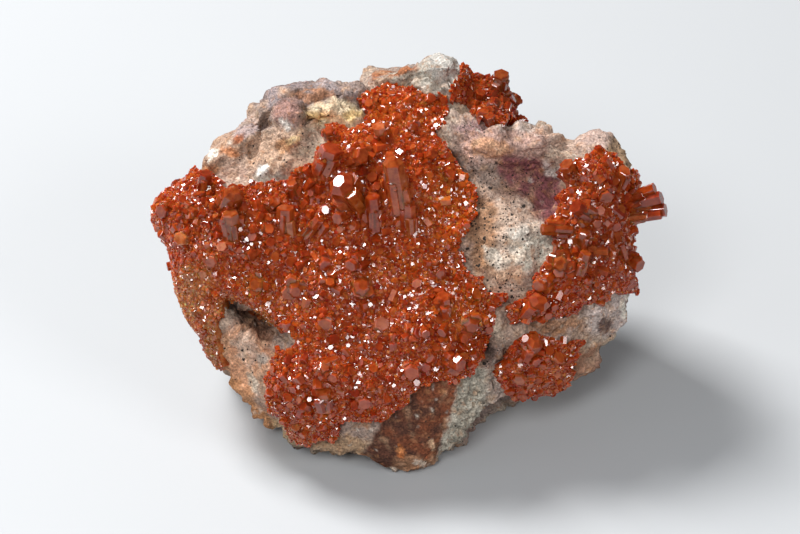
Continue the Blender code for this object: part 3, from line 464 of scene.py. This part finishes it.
def perlin(points, span, seed=0):
    """Gradient noise from about -1 to 1 whose bumps are about one span wide."""
    table = unit(np.random.default_rng(seed).normal(size=(512, 3)))
    scaled = points / span + 100.0
    cell = np.floor(scaled).astype(np.int64)
    part = scaled - cell
    ease = part**3 * (part * (part * 6 - 15) + 10)
    total = np.zeros(len(points))
    for corner in itertools.product((0, 1), repeat=3):
        key = ((cell + corner) * CELL_PRIMES).sum(axis=1)
        gradient = table[(key ^ (key >> 9)) & 511]
        weight = np.prod(np.where(corner, ease, 1 - ease), axis=1)
        total += weight * ((part - corner) * gradient).sum(axis=1)
    return total * NOISE_GAIN


def octaves(points, spans_and_heights, seed=0):
    """Noise of several spans laid over one another."""
    return sum(height * perlin(points, span, seed + i) for i, (span, height) in enumerate(spans_and_heights))


def billows(points, spans_and_heights, seed=0):
    """Rounded lumps with creases between them."""
    rows = enumerate(spans_and_heights)
    return sum(height * np.abs(perlin(points, span, seed + i)) * NOISE_GAIN for i, (span, height) in rows)


def uneven(points, span):
    """The part's own noise, so that the stone is the solid's."""
    return np.array([noise.fractal(Vector(p) / span, 1.0, 2.0, 3) for p in points])


def rim_depth(v):
    """How far the rim lies behind the face at a height."""
    return -TOP_RECEDES * (v / FACE_HEIGHT) ** 2


def outline_reach(angle, blur=0.0):
    """Distance from the core to the outline at each angle, taken as the mean over blur to either side."""
    rim = np.array(OUTLINE) - (CORE_U, CORE_V)
    at = np.arctan2(rim[:, 1], rim[:, 0])
    order = np.argsort(at)
    reach = np.hypot(rim[:, 0], rim[:, 1])[order]
    turns = np.linspace(-blur, blur, BLUR_STEPS)
    drawn = np.mean([np.interp(angle + turn, at[order], reach, period=2 * math.pi) for turn in turns], axis=0)
    for middle, half, depth in CRUSTED_EDGES:
        away = (np.degrees(angle) - middle + 180) % 360 - 180
        drawn -= depth * smoothstep(OVAL_ENDS - np.abs(away) / half)
    return drawn


def outward(points):
    """Directions out of the stone, as smooth as its outline."""
    u, v, w = points.T
    angle = np.arctan2(v - CORE_V, u - CORE_U)
    reach = outline_reach(angle)
    share = np.clip(np.hypot(u - CORE_U, v - CORE_V) / reach, 0.0, 1.0)
    rise = np.where(w > rim_depth(v), 1 / FRONT_SWELL, -1 / BACK_SWELL) * np.sqrt(1 - share**2)
    return unit(np.stack([np.cos(angle) * share / reach, np.sin(angle) * share / reach, rise], axis=1))


def stone_surface(ball):
    """The stone's coarse surface for points of the unit sphere, which is stretched to the outline."""
    x, y, z = ball.T
    angle = np.arctan2(y, x)
    sharp = outline_reach(angle, OUTLINE_EASE)
    reach = sharp + (outline_reach(angle, OUTLINE_BLUR) - sharp) * smoothstep(-z / BACK_CORNERS_FADE)
    reach += (outline_reach(angle, FRONT_BLUR) - sharp) * smoothstep(z / FRONT_CORNERS_FADE)
    u = CORE_U + np.hypot(x, y) * reach * np.cos(angle)
    v = CORE_V + np.hypot(x, y) * reach * np.sin(angle)
    w = np.where(z > 0, FRONT_SWELL * np.abs(z) ** SQUARENESS, BACK_SWELL * z)
    w += smoothstep(z / RELIEF_STARTS) * mounds(u, v, RELIEF)
    points = np.stack([u, v, w + rim_depth(v)], axis=1)
    off_rim = 0.3 + 0.7 * smoothstep(np.abs(z) / RIM_BAND)
    bumps = ROUGHNESS * off_rim * uneven(points, ROUGHNESS_SPAN)
    bumps += BACK_ROUGHNESS * smoothstep(-z / BACK_STARTS) * uneven(points, BACK_ROUGHNESS_SPAN)
    points += ball * bumps[:, None]
    for at, looks, share in BREAKS:
        normal = np.array(looks) / np.linalg.norm(looks)
        past = np.maximum((points - at) @ normal, 0.0)
        points -= share * past[:, None] * normal
    return points


def crust_rise(points):
    """How far a crust stands off the stone; it sinks into it where the crust ends."""
    u, v, w = points.T
    past_edge = w - rim_depth(v)
    rise = CRUST_RISE + mounds(u, v, CRUST_SWELLINGS)
    rise *= RIM_THINS_TO + (1 - RIM_THINS_TO) * smoothstep(past_edge / RIM_THINS_OVER)
    wrap = WRAP + WRAP_WANDERS * uneven(points, WRAP_SPAN)
    ends = smoothstep((-past_edge - wrap) / ENDS_OVER)
    ends = np.maximum(ends, smoothstep(CRUST_ABOVE_GROUND - to_world(points)[:, 2] / MM))
    return rise - (rise + SINKS) * ends


def inside(outline, u, v):
    """True for the points that lie within the outline."""
    found = np.zeros(len(u), bool)
    for (u0, v0), (u1, v1) in zip(outline, outline[1:] + outline[:1]):
        crosses = (v0 > v) != (v1 > v)
        found ^= crosses & (u < u0 + (v - v0) / ((v1 - v0) or 1.0) * (u1 - u0))
    return found


def ball_grid(squares):
    """Points and triangles of a unit sphere made of six square grids, its points crowded towards +z."""
    step = np.tan(np.linspace(-math.pi / 4, math.pi / 4, squares + 1))
    a, b = np.meshgrid(step, step, indexing="ij")
    one = np.ones_like(a)
    sheets = ((one, a, b), (-one, b, a), (b, one, a), (a, -one, b), (a, b, one), (b, a, -one))
    points = unit(np.concatenate([np.stack(sheet, axis=-1).reshape(-1, 3) for sheet in sheets]))
    i, j = np.meshgrid(np.arange(squares), np.arange(squares), indexing="ij")
    corner = (i * (squares + 1) + j).ravel()
    across = corner + squares + 1
    flip = ((i + j) % 2 == 0).ravel()[:, None]
    halves = (
        ((corner, across, across + 1), (corner, across, corner + 1)),
        ((corner, across + 1, corner + 1), (across, across + 1, corner + 1)),
    )
    square = np.concatenate([np.where(flip, np.stack(one, 1), np.stack(other, 1)) for one, other in halves])
    triangles = np.concatenate([square + sheet * (squares + 1) ** 2 for sheet in range(6)])
    _, kept, merged = np.unique(np.round(points, 6), axis=0, return_index=True, return_inverse=True)
    points, triangles = points[kept], merged.ravel()[triangles]
    return unit(points + (0, 0, FRONT_BIAS)), triangles


def normals_of(points, triangles):
    """Smooth normals at the points."""
    a, b, c = points[triangles].transpose(1, 0, 2)
    facing = np.cross(b - a, c - a)
    normals = np.zeros_like(points)
    for corner in range(3):
        np.add.at(normals, triangles[:, corner], facing)
    return normals / np.maximum(np.linalg.norm(normals, axis=1), 1e-12)[:, None]


def make_mesh(name, material, points, faces, tint, smooth=False):
    """An object with points given in the face frame. Faces is a list of arrays, one face in each row."""
    mesh = bpy.data.meshes.new(name)
    mesh.vertices.add(len(points))
    mesh.vertices.foreach_set("co", to_world(points).ravel())
    loops = np.concatenate([block.ravel() for block in faces])
    sizes = np.concatenate([np.full(len(block), block.shape[1]) for block in faces])
    mesh.loops.add(len(loops))
    mesh.loops.foreach_set("vertex_index", loops)
    mesh.polygons.add(len(sizes))
    mesh.polygons.foreach_set("loop_start", np.concatenate([[0], np.cumsum(sizes)[:-1]]))
    mesh.polygons.foreach_set("use_smooth", np.full(len(sizes), smooth))
    mesh.update(calc_edges=True)
    layer = mesh.color_attributes.new("tint", "FLOAT_COLOR", "POINT")
    layer.data.foreach_set("color", tint.ravel())
    mesh.materials.append(material)
    obj = bpy.data.objects.new(name, mesh)
    bpy.context.scene.collection.objects.link(obj)
    return obj


def mix(colour, other, share):
    colour = np.asarray(colour)
    return colour + (other - colour) * share[:, None]


def stained(colour, points, rows, where=1):
    """The colours with blotches over them, one kind for each row."""
    for laid, strength, span, gain, rarity, seed in rows:
        colour = mix(colour, laid, strength * where * smoothstep(perlin(points, span, seed) * gain - rarity))
    return colour


def near_outline(outline, u, v, soft):
    """From 0 outside an outline to 1 inside it, over a soft edge."""
    spread = [(0, 0), (soft, 0), (-soft, 0), (0, soft), (0, -soft)]
    return np.mean([inside(outline, u + du, v + dv) for du, dv in spread], axis=0)


def ragged(points):
    """The points' u and v, shifted unevenly so that borders drawn with them are ragged."""
    return [points[:, i] + octaves(points * (1, 1, 0.3), RAGGED, 180 + 10 * i) for i in range(2)]


def stone_tint(points):
    """The stone's colours, with painted shade in some clefts and hollows, and, in alpha, how thick its black
    specks lie.
    """
    u, v = (points[:, i] + octaves(points, TINT_WARP, 140 + 10 * i) for i in range(2))
    past_edge = points[:, 2] - rim_depth(points[:, 1])
    front = smoothstep((past_edge + PAINT_REACHES + LOW_LEFT_REACHES * oval(u, v, *LOW_LEFT)) / 3)
    colour = mix(STONE_BASE, STONE_SHADE, smoothstep(0.5 + 0.9 * perlin(points, 9, 60)))
    colour = stained(colour, points, WHOLE_BLOTCHES)
    colour = stained(colour, points, BACK_BLOTCHES, 1 - front)
    patchy = 0.6 * perlin(points, 1.3, 63)
    # the listed colours, among them painted shade in clefts and hollows
    for *place, laid, strength in STONE_PAINT:
        near = front if min(place[2:4]) > SMALL_SPOT else smoothstep(past_edge + 1)
        share = smoothstep((oval(u, v, *place) - 0.2) * (1.9 + patchy))
        colour = mix(colour, laid, near * strength * share)
    borders = ragged(points)
    red = smoothstep(0.5 + 1.2 * perlin(points, 2.2, 64) + (points[:, 0] - 2) / 8)
    brown = mix(BROWN, BROWN_RED, red)
    grey = mix(GREY, GREY_PALE, smoothstep(0.5 + 1.4 * perlin(points, 1.4, 65)))
    grey = mix(grey, GREY_PINK, smoothstep((points[:, 0] - 8.5) / 3))
    bordered = [(outline, laid) for outline, _, laid in BLOCKS]
    for outline, laid in (*bordered, (BROWN_BREAK, brown), (GREY_BREAK, grey)):
        colour = mix(colour, laid, near_outline(outline, *borders, BORDER_SOFT) * front)
    for *place, laid, strength in LATE_SPOTS:
        share = smoothstep(oval(u, v, *place) * (1.6 + patchy) + 0.4 * patchy)
        colour = mix(colour, laid, strength * front * share)
    colour = stained(colour, points, LATE_BLOTCHES)
    colour *= (1 + 0.2 * perlin(points, 0.9, 66) + 0.16 * perlin(points, 0.45, 67))[:, None]
    clustered = 0.3 + 1.3 * smoothstep(0.5 + 1.3 * perlin(points, 1.8, 79))
    specks = np.clip(0.03 + mounds(u, v, SPECKED) * front * clustered, 0, 1)
    specks += 0.5 * (1 - front) * smoothstep(perlin(points, 6.0, 78) * 2)
    return np.column_stack([np.clip(colour, 0.01, 0.9), np.clip(specks, 0, 1)])


def crust_tint(points):
    """The crusts' colours."""
    u, v = (points[:, i] + 0.8 * perlin(points, 2.5, 70 + i) for i in range(2))
    orange = mounds(u, v, ORANGE_PARTS) + 0.35 * perlin(points, 3, 72)
    colour = mix(CRUST_RED, CRUST_ORANGE, np.clip(orange, 0, 1))
    colour = mix(colour, CRUST_TAN, np.clip(mounds(u, v, TAN_PARTS), 0, 1))
    colour *= (1 - np.clip(mounds(u, v, DEEPER_PARTS), 0, 0.5) + 0.15 * perlin(points, 1.2, 73))[:, None]
    return np.column_stack([colour, np.ones(len(points))])


def make_stone(material):
    """The stone's fine surface, cut flat where it rests."""
    ball, triangles = ball_grid(STONE_GRID)
    points = stone_surface(ball)
    normals = normals_of(points, triangles)
    u, v = points.T[:2]
    on_face = points[:, 2] > FACE_ENDS
    brown, grey = (near_outline(outline, u, v, BREAK_SOFT) for outline in (BROWN_BREAK, GREY_BREAK))
    lumpy = 0.75 + 0.9 * perlin(points, 8, 30) - 0.7 * np.maximum(brown, grey)
    lumpy *= 1 - 0.7 * np.clip(mounds(u, v, SMOOTHER), 0, 1)
    detail = np.clip(lumpy, 0.1, 1.4) * (billows(points, LUMPS, 31) - 0.5)
    detail += smoothstep(-ball[:, 2] / 0.5) * (billows(points, BACK_LUMPS, 33) - 0.3)
    detail += octaves(points, SAND, 35) * (1 - 0.6 * grey)
    detail += grey * (billows(points * (1, 1.5, 1), WRINKLES, 44) - 0.2)
    borders = ragged(points)
    for outline, rise, _ in BLOCKS:
        detail += rise * smoothstep(near_outline(outline, *borders, BLOCK_SOFT) * on_face)
    detail += mounds(u, v, KNOBS) * on_face
    at_rim = 1 - smoothstep(np.abs(ball[:, 2]) / RIM_BAND)
    pits = smoothstep(perlin(points, 1.1, 39) * 2.6 - 1.3)
    detail -= PIT_DEPTH * pits * (1 - 0.6 * brown) * (1 - 0.8 * at_rim) + RIM_TRIM * at_rim
    points = points + normals * detail[:, None]
    broken = near_outline(BLOCKS[1][0], *borders, 0.8) * (points[:, 2] > FACE_ENDS)
    middle = points[broken > 0.9].mean(axis=0)
    for looks, reach in BLOCK_FACES:
        way = np.array(looks) / np.linalg.norm(looks)
        past = np.maximum((points - middle) @ way - reach, 0.0) * smoothstep(broken)
        points -= SLAB_FLATNESS * past[:, None] * way
    stone = make_mesh("stone", material, points, [triangles], stone_tint(points), smooth=True)
    bm = bmesh.new()
    bm.from_mesh(stone.data)
    everything = bm.verts[:] + bm.edges[:] + bm.faces[:]
    cut = bmesh.ops.bisect_plane(
        bm, geom=everything, plane_co=(0, 0, 0), plane_no=(0, 0, 1), clear_inner=True, dist=1e-6
    )
    rim = [edge for edge in cut["geom_cut"] if isinstance(edge, bmesh.types.BMEdge)]
    base = bmesh.ops.contextual_create(bm, geom=rim)["faces"]
    bmesh.ops.triangulate(bm, faces=base)
    bm.to_mesh(stone.data)
    bm.free()
    return stone


class Surface:
    """A crust's upper surface, which the crystals stand on."""

    def __init__(self, points, triangles):
        self.points = points
        self.triangles = triangles
        self.normals = normals_of(points, triangles)
        self.tree = BVHTree.FromPolygons(points.tolist(), triangles.tolist())

    def sample(self, count, rng):
        """Random feet spread over the surface, with the normals there."""
        a, b, c = self.points[self.triangles].transpose(1, 0, 2)
        share = np.linalg.norm(np.cross(b - a, c - a), axis=1)
        pick = rng.choice(len(share), count, p=share / share.sum())
        s, t = rng.random((2, count, 1))
        s, t = np.where(s + t > 1, 1 - s, s), np.where(s + t > 1, 1 - t, t)
        normal = unit(self.normals[self.triangles[pick]].mean(axis=1))
        return a[pick] + s * (b - a)[pick] + t * (c - a)[pick], normal

    def foot(self, u, v):
        """Where a line along the face's normal meets the surface."""
        return self.tree.ray_cast(Vector((u, v, 60)), Vector((0, 0, -1)))[0]


def make_ground(name, outline, material, stone, triangles, rise):
    """A closed sheet of sugary grains within an outline, and the surface that its crystals stand on."""
    wander = [EDGE_WANDERS * perlin(stone, 2, 20 + i) + 0.3 * perlin(stone, 0.8, 24 + i) for i in range(2)]
    within = inside(outline, stone[:, 0] + wander[0], stone[:, 1] + wander[1]) & (rise > THINNEST_CRUST)
    used, chosen = np.unique(triangles[within[triangles].all(axis=1)], return_inverse=True)
    chosen = chosen.reshape(-1, 3)
    stone, rise = stone[used], rise[used]
    way = outward(stone)
    height = rise - GROUND_BELOW + octaves(stone, GROUND_OCTAVES, 26)
    top = stone + way * height[:, None]
    rng = np.random.default_rng(len(outline))
    grain = rng.uniform(-GRAIN, GRAIN, len(top)) + 0.06 * perlin(stone, 0.5, 29)
    bumpy = top + normals_of(top, chosen) * grain[:, None]
    under = stone - way * GROUND_ROOT
    count = len(used)
    edges = np.concatenate([chosen[:, [0, 1]], chosen[:, [1, 2]], chosen[:, [2, 0]]])
    key = np.sort(edges, axis=1) @ (count, 1)
    _, first, times = np.unique(key, return_index=True, return_counts=True)
    a, b = edges[first[times == 1]].T
    walls = np.stack([b, a, a + count, b + count], axis=1)
    points = np.concatenate([bumpy, under])
    tint = np.tile(crust_tint(top), (2, 1))
    ground = make_mesh(name, material, points, [chosen, chosen[:, ::-1] + count, walls], tint)
    return ground, Surface(top, chosen)


def frames(axis, turn):
    """Two directions square to each axis, turned about it."""
    helper = np.where(np.abs(axis[:, 2:]) < 0.9, (0.0, 0.0, 1.0), (1.0, 0.0, 0.0))
    first = unit(np.cross(helper, axis))
    second = np.cross(axis, first)
    c, s = np.cos(turn)[:, None], np.sin(turn)[:, None]
    return first * c + second * s, second * c - first * s


def prisms(foot, axis, radius, length, root, rng, bevel=0, barrel=0, corners=6):
    """Points and faces of closed prisms with flat ends, whose shoulders may be bevelled."""
    count = len(foot)
    turns = np.arange(corners) * 2 * math.pi / corners
    rim = np.stack([np.cos(turns), np.sin(turns)], axis=1)
    first, second = frames(axis, rng.uniform(0, math.pi, count))
    squash = np.stack([rng.uniform(*span, count) for span in SQUASH], axis=1)
    bevel = np.broadcast_to(bevel, count)
    rings = [(-root, np.full(count, 1 - barrel))]
    if barrel:
        rings.append((length * WIDEST_AT, np.ones(count)))
    if bevel.any():
        rings.append((length - radius * bevel, np.full(count, 1 - barrel * SHOULDER)))
        rings.append((length, 1 - barrel * SHOULDER - bevel * BEVEL_SLOPE))
    else:
        rings.append((length, np.full(count, 1 - barrel)))
    points = np.empty((count, len(rings), corners, 3))
    for k, (along, wide) in enumerate(rings):
        corner = rim[None] * (squash * (radius * wide)[:, None])[:, None]
        points[:, k] = foot[:, None] + axis[:, None] * np.reshape(along, (-1, 1, 1))
        points[:, k] += corner[:, :, :1] * first[:, None] + corner[:, :, 1:] * second[:, None]
    each = len(rings) * corners
    base = (np.arange(count) * each)[:, None]
    j = np.arange(corners)
    after = (j + 1) % corners
    sides = []
    for k in range(0, each - corners, corners):
        quad = np.stack([j + k, after + k, after + k + corners, j + k + corners], axis=1)
        sides.append((base[:, :, None] + quad).reshape(-1, 4))
    caps = np.concatenate([base + j[::-1], base + j + each - corners])
    return points.reshape(-1, 3), [*sides, caps], each


def crystal_tints(foot, per_crystal, rng, shade, spread):
    """One colour for each crystal, near the crust's own there."""
    colour = crust_tint(foot) * (*shade, 1)
    paler = rng.normal(0, 1, (len(foot), 1))
    colour[:, :3] *= np.exp(spread * paler * PALER_TURNS)
    colour[:, 1] *= np.exp(rng.normal(0, 0.08, len(foot)))
    colour[:, :3] = np.clip(colour[:, :3], 0.003, 0.8)
    return np.repeat(colour, per_crystal, axis=0)


def make_prisms(name, material, tint, foot, axis, radius, length, root, rng, **form):
    """A mesh of prisms, each with a colour of its own."""
    points, faces, each = prisms(foot, axis, radius, length, root, rng, **form)
    return make_mesh(name, material, points, faces, crystal_tints(foot, each, rng, *tint))


def leaning(normal, rng, most):
    """Directions scattered about the normals, up to most degrees away."""
    first, _ = frames(normal, rng.uniform(0, 2 * math.pi, len(normal)))
    lean = np.radians(most) * rng.random((len(normal), 1)) ** LEAN_POWER
    return normal * np.cos(lean) + first * np.sin(lean)


def spaced(points, radius, closeness):
    """Which points to keep so that no two are nearer than closeness times their radii, the largest first."""
    cell = 2 * radius.max() * closeness
    grid = {}
    kept = []
    for i in np.argsort(-radius, kind="stable"):
        at = points[i]
        key = tuple(int(c) for c in np.floor(at / cell))
        around = itertools.product(*((c - 1, c, c + 1) for c in key))
        near = (k for place in around for k in grid.get(place, ()))
        if all(math.dist(points[k], at) >= closeness * (radius[k] + radius[i]) for k in near):
            grid.setdefault(key, []).append(i)
            kept.append(i)
    return np.array(kept)


def direction(lean, heading):
    """Where a crystal points that leans so far from the face's normal, towards a heading."""
    lean, heading = np.radians(lean), np.radians(heading)
    return np.stack([np.sin(lean) * np.cos(heading), np.sin(lean) * np.sin(heading), np.cos(lean)], axis=-1)


def make_large(name, rows, surface, material, rng):
    """The large crystals, each with four smaller ones grown along it and small ones on its lower sides."""
    found = [(surface.foot(row[0], row[1]), row) for row in rows]
    rows = np.array([row for foot, row in found if foot is not None])
    foot = np.array([foot for foot, _ in found if foot is not None])
    radius, length = rows[:, 2] * LARGE_THINNER, rows[:, 3] + LARGE_LONGER
    length -= LOW_SUNK * (rows[:, 3] < LOW_BELOW)
    axis = direction(rows[:, 4], rows[:, 5])
    first, second = frames(axis, rng.uniform(0, 2 * math.pi, len(foot)))
    feet, axes, radii, lengths = [foot], [axis], [radius], [length]
    for side, shorter in zip((first, second, -first, -second), SIDE_LENGTHS):
        feet.append(foot + side * (radius * rng.uniform(0.55, 0.8, len(foot)))[:, None])
        axes.append(axis + rng.normal(0, 0.05, axis.shape))
        radii.append(radius * rng.uniform(0.5, 0.7, len(foot)))
        lengths.append(length * shorter * rng.uniform(0.8, 1.1, len(foot)))
    for _ in range(SMALL_ON_EACH):
        turn = rng.uniform(0, 2 * math.pi, (len(foot), 1))
        side = first * np.cos(turn) + second * np.sin(turn)
        up = rng.uniform(-0.1, 0.6, (len(foot), 1))
        feet.append(foot + side * radius[:, None] * 0.85 + axis * length[:, None] * up)
        axes.append(side + axis * rng.uniform(0.0, 1.2, (len(foot), 1)) + rng.normal(0, 0.3, axis.shape))
        radii.append(rng.uniform(0.14, 0.32, len(foot)))
        lengths.append(radii[-1] * rng.uniform(0.5, 1.4, len(foot)))
    foot, axis = np.concatenate(feet), unit(np.concatenate(axes))
    radius, length = np.concatenate(radii), np.concatenate(lengths)
    bevel = np.where(radius > BLUNT_ABOVE, BLUNT_BEVEL, rng.uniform(0.03, 0.2, len(foot)))
    root = np.minimum(1.4, radius * 1.4)
    form = {"bevel": bevel, "barrel": LARGE_BARREL}
    return make_prisms(name, material, LARGE_TINT, foot, axis, radius, length, root, rng, **form)


def make_medium(name, surface, count, material, rng):
    """The crystals between the large ones."""
    foot, normal = surface.sample(count, rng)
    coarse = SMALLEST_RADIUS + mounds(*foot.T[:2], COARSE_PARTS)
    coarse *= 1 - 0.45 * np.clip(mounds(*foot.T[:2], TAN_PARTS), 0, 1)
    radius = np.clip(coarse * np.exp(rng.normal(0, 0.5, count)), *MEDIUM_RADII)
    sparse = rng.random(count) > SPARSE_SHARE + 3 * (coarse - SMALLEST_RADIUS)
    radius[sparse] = 0
    keep = spaced(foot, radius, MEDIUM_CLOSENESS)
    keep = keep[radius[keep] > 0]
    foot, normal, radius = foot[keep], normal[keep], radius[keep]
    axis = leaning(normal, rng, MEDIUM_LEAN)
    level_share = LEVEL_SHARE + mounds(*foot.T[:2], LEVEL_PARTS)
    level = (rng.random(len(foot)) < level_share) & (radius < LEVEL_BELOW)
    axis[level] = leaning(np.tile(LEVEL_AXIS, (level.sum(), 1)), rng, LEVEL_LEAN)
    length = radius * rng.uniform(0, 0.85, len(foot))
    long = rng.random(len(foot)) < LONG_SHARE
    length[long] += radius[long] * rng.uniform(0.4, 1.4, long.sum())
    bevel = np.where(rng.random(len(foot)) < BLUNT_SHARE, 0.5, rng.uniform(0.02, 0.14, len(foot)))
    root = radius * 1.2 + 0.2
    return make_prisms(name, material, MEDIUM_TINT, foot, axis, radius, length, root, rng, bevel=bevel)


def make_fine(name, surface, count, material, rng):
    """The smallest crystals, which cover the ground."""
    foot, normal = surface.sample(count, rng)
    radius = FINE_RADIUS * np.exp(rng.normal(0, 0.32, count))
    axis = leaning(normal, rng, FINE_LEAN)
    length = radius * rng.uniform(0.1, 1, count)
    return make_prisms(name, material, FINE_TINT, foot, axis, radius, length, radius, rng, corners=4)


def new_material(name):
    material = bpy.data.materials.new(name)
    material.use_nodes = True
    return material, material.node_tree, material.node_tree.nodes["Principled BSDF"]


def place_and_tint(tree):
    """The place on the object, and the node with the points' own colours."""
    tint = tree.nodes.new("ShaderNodeVertexColor")
    tint.layer_name = "tint"
    return tree.nodes.new("ShaderNodeTexCoord").outputs["Object"], tint


def feed(tree, node, inputs):
    """Give a node's inputs numbers, colours or other nodes' outputs."""
    for name, value in inputs.items():
        if isinstance(value, bpy.types.NodeSocket):
            tree.links.new(value, node.inputs[name])
        else:
            node.inputs[name].default_value = value


def new_node(tree, kind, inputs, operation=None):
    node = tree.nodes.new(f"ShaderNode{kind}")
    if operation:
        node.operation = operation
    feed(tree, node, inputs)
    return node


def math_node(tree, operation, a, b):
    return new_node(tree, "Math", {0: a, 1: b}, operation).outputs[0]


def noise_node(tree, place, scale, detail):
    return new_node(tree, "TexNoise", {"Vector": place, "Scale": scale, "Detail": detail}).outputs["Fac"]


def scaled_colour(tree, colour, factor):
    return new_node(tree, "VectorMath", {0: colour, "Scale": factor}, "SCALE").outputs[0]


def mixed(tree, share, a, b):
    node = tree.nodes.new("ShaderNodeMix")
    node.data_type = "RGBA"
    feed(tree, node, {"Factor": share, 6: a, 7: b})
    return node.outputs[2]


def stretched(tree, value, low, high, to_low=0, to_high=1):
    """A value's range from low to high, spread over another range."""
    inputs = {"Value": value, "From Min": low, "From Max": high, "To Min": to_low, "To Max": to_high}
    return new_node(tree, "MapRange", inputs).outputs["Result"]


def stone_material():
    """Dull pale stone with sandy grain and small black specks."""
    material, tree, shader = new_material("matrix_stone")
    place, tint = place_and_tint(tree)
    grain = noise_node(tree, place, *GRAIN_NOISE)
    brightness = stretched(tree, grain, *GRAIN_RANGE)
    colour = scaled_colour(tree, tint.outputs["Color"], brightness)
    rust = stretched(tree, noise_node(tree, place, *RUST_NOISE), *RUST_RANGE)
    colour = mixed(tree, rust, colour, RUST)
    chalk = stretched(tree, noise_node(tree, place, *CHALK_NOISE), *CHALK_RANGE)
    colour = mixed(tree, chalk, colour, scaled_colour(tree, colour, CHALK_BRIGHTER))
    for scale, biggest, share in SPECK_CELLS:
        cells = new_node(tree, "TexVoronoi", {"Scale": scale, "Vector": place})
        split = new_node(tree, "SeparateColor", {0: cells.outputs["Color"]})
        size = math_node(tree, "MULTIPLY", split.outputs[0], biggest)
        size = math_node(tree, "MULTIPLY", size, brightness)
        is_speck = math_node(tree, "LESS_THAN", cells.outputs["Distance"], size)
        chance = math_node(tree, "MULTIPLY", tint.outputs["Alpha"], share)
        chosen = math_node(tree, "LESS_THAN", split.outputs[1], chance)
        speck = math_node(tree, "MULTIPLY", is_speck, chosen)
        colour = mixed(tree, speck, colour, SPECK)
    bump = new_node(tree, "Bump", {"Strength": 1, "Distance": GRAIN_BUMP, "Height": grain})
    looks = {"Base Color": colour, "Roughness": STONE_ROUGHNESS, "Specular IOR Level": STONE_SHINE}
    feed(tree, shader, {**looks, "Normal": bump.outputs["Normal"]})
    return material


def crystal_material(name, roughness, depth):
    """Translucent red-orange crystal with a bright, nearly adamantine lustre."""
    material, tree, shader = new_material(name)
    place, tint = place_and_tint(tree)
    cloud = stretched(tree, noise_node(tree, place, *CLOUD_NOISE), *CLOUD_RANGE)
    ends = []
    for shade in (DEEP, PALE):
        times = new_node(tree, "VectorMath", {0: tint.outputs["Color"], 1: shade}, "MULTIPLY")
        ends.append(times.outputs[0])
    looks = {"Base Color": mixed(tree, cloud, *ends), "Roughness": roughness, "IOR": LUSTRE_IOR}
    inside_it = {
        "Subsurface Weight": TRANSLUCENCE, "Subsurface Radius": TRANSLUCENT_RED, "Subsurface Scale": depth,
    }
    feed(tree, shader, {**looks, **inside_it})
    return material


def belongs(obj, node):
    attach(obj, "root")
    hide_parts(node)


def add_to_stage(name, data, place=(0, 0, 0), target=None):
    """A stage object, which looks at its target if it has one."""
    obj = bpy.data.objects.new(name, data)
    obj.location = place
    bpy.context.scene.collection.objects.link(obj)
    if target is not None:
        obj.rotation_euler = (Vector(target) - obj.location).to_track_quat("-Z", "Y").to_euler()
    return obj


def make_stage():
    """A pale floor, soft lights and the camera, which looks along the face's normal."""
    bm = bmesh.new()
    bmesh.ops.create_grid(bm, x_segments=1, y_segments=1, size=FLOOR_SIZE)
    floor = bpy.data.meshes.new("floor")
    bm.to_mesh(floor)
    bm.free()
    material, tree, shader = new_material("floor")
    feed(tree, shader, {"Base Color": FLOOR_COLOUR, "Roughness": FLOOR_ROUGHNESS})
    floor.materials.append(material)
    add_to_stage("floor", floor)
    for name, place, size, watts, colour in LIGHTS:
        light = bpy.data.lights.new(name, "AREA")
        light.size = size
        light.energy = watts
        light.color = colour
        add_to_stage(name, light, place, LIT_MIDDLE)
    world = bpy.data.worlds.new("studio")
    world.use_nodes = True
    sky = world.node_tree.nodes["Background"]
    feed(world.node_tree, sky, {"Color": SKY, "Strength": SKY_STRENGTH})
    bpy.context.scene.world = world
    camera = bpy.data.cameras.new("camera")
    camera.lens = LENS
    bpy.context.scene.camera = add_to_stage("camera", camera, *to_world([CAMERA_AT, CAMERA_LOOKS_AT]))


def make_crust(name, node, outline, large, counts, looks, stone, triangles, rise):
    """A crust's ground and its large, medium and fine crystals."""
    ground_look, fine_look, crystal_look = looks
    medium_count, fine_count, fine_meshes = counts
    rng = np.random.default_rng(len(outline) + 5)
    ground, surface = make_ground(f"{name}_ground", outline, ground_look, stone, triangles, rise)
    pieces = [ground, make_large(f"{name}_large", large, surface, crystal_look, rng)]
    pieces.append(make_medium(f"{name}_medium", surface, medium_count, crystal_look, rng))
    for k in range(fine_meshes):
        pieces.append(make_fine(f"{name}_fine_{k + 1}", surface, fine_count, fine_look, rng))
    for piece in pieces:
        belongs(piece, node)


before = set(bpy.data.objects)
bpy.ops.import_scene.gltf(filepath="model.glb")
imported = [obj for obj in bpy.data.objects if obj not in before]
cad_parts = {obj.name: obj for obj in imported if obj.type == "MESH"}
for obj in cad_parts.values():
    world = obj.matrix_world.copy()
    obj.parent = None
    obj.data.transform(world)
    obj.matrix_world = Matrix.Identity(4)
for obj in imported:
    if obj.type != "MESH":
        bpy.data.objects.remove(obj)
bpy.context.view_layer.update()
bpy.context.scene.view_settings.view_transform = "Standard"

belongs(make_stone(stone_material()), "matrix")
crystal_looks = [crystal_material(*look) for look in CRYSTAL_LOOKS]
ball_points, ball_triangles = ball_grid(GROUND_GRID)
coarse_stone = stone_surface(ball_points)
ground_form = (coarse_stone, ball_triangles, crust_rise(coarse_stone))
for crust_name, solid, border, large_rows, *counts in CRUSTS:
    make_crust(crust_name, solid, border, large_rows, counts, crystal_looks, *ground_form)

make_stage()
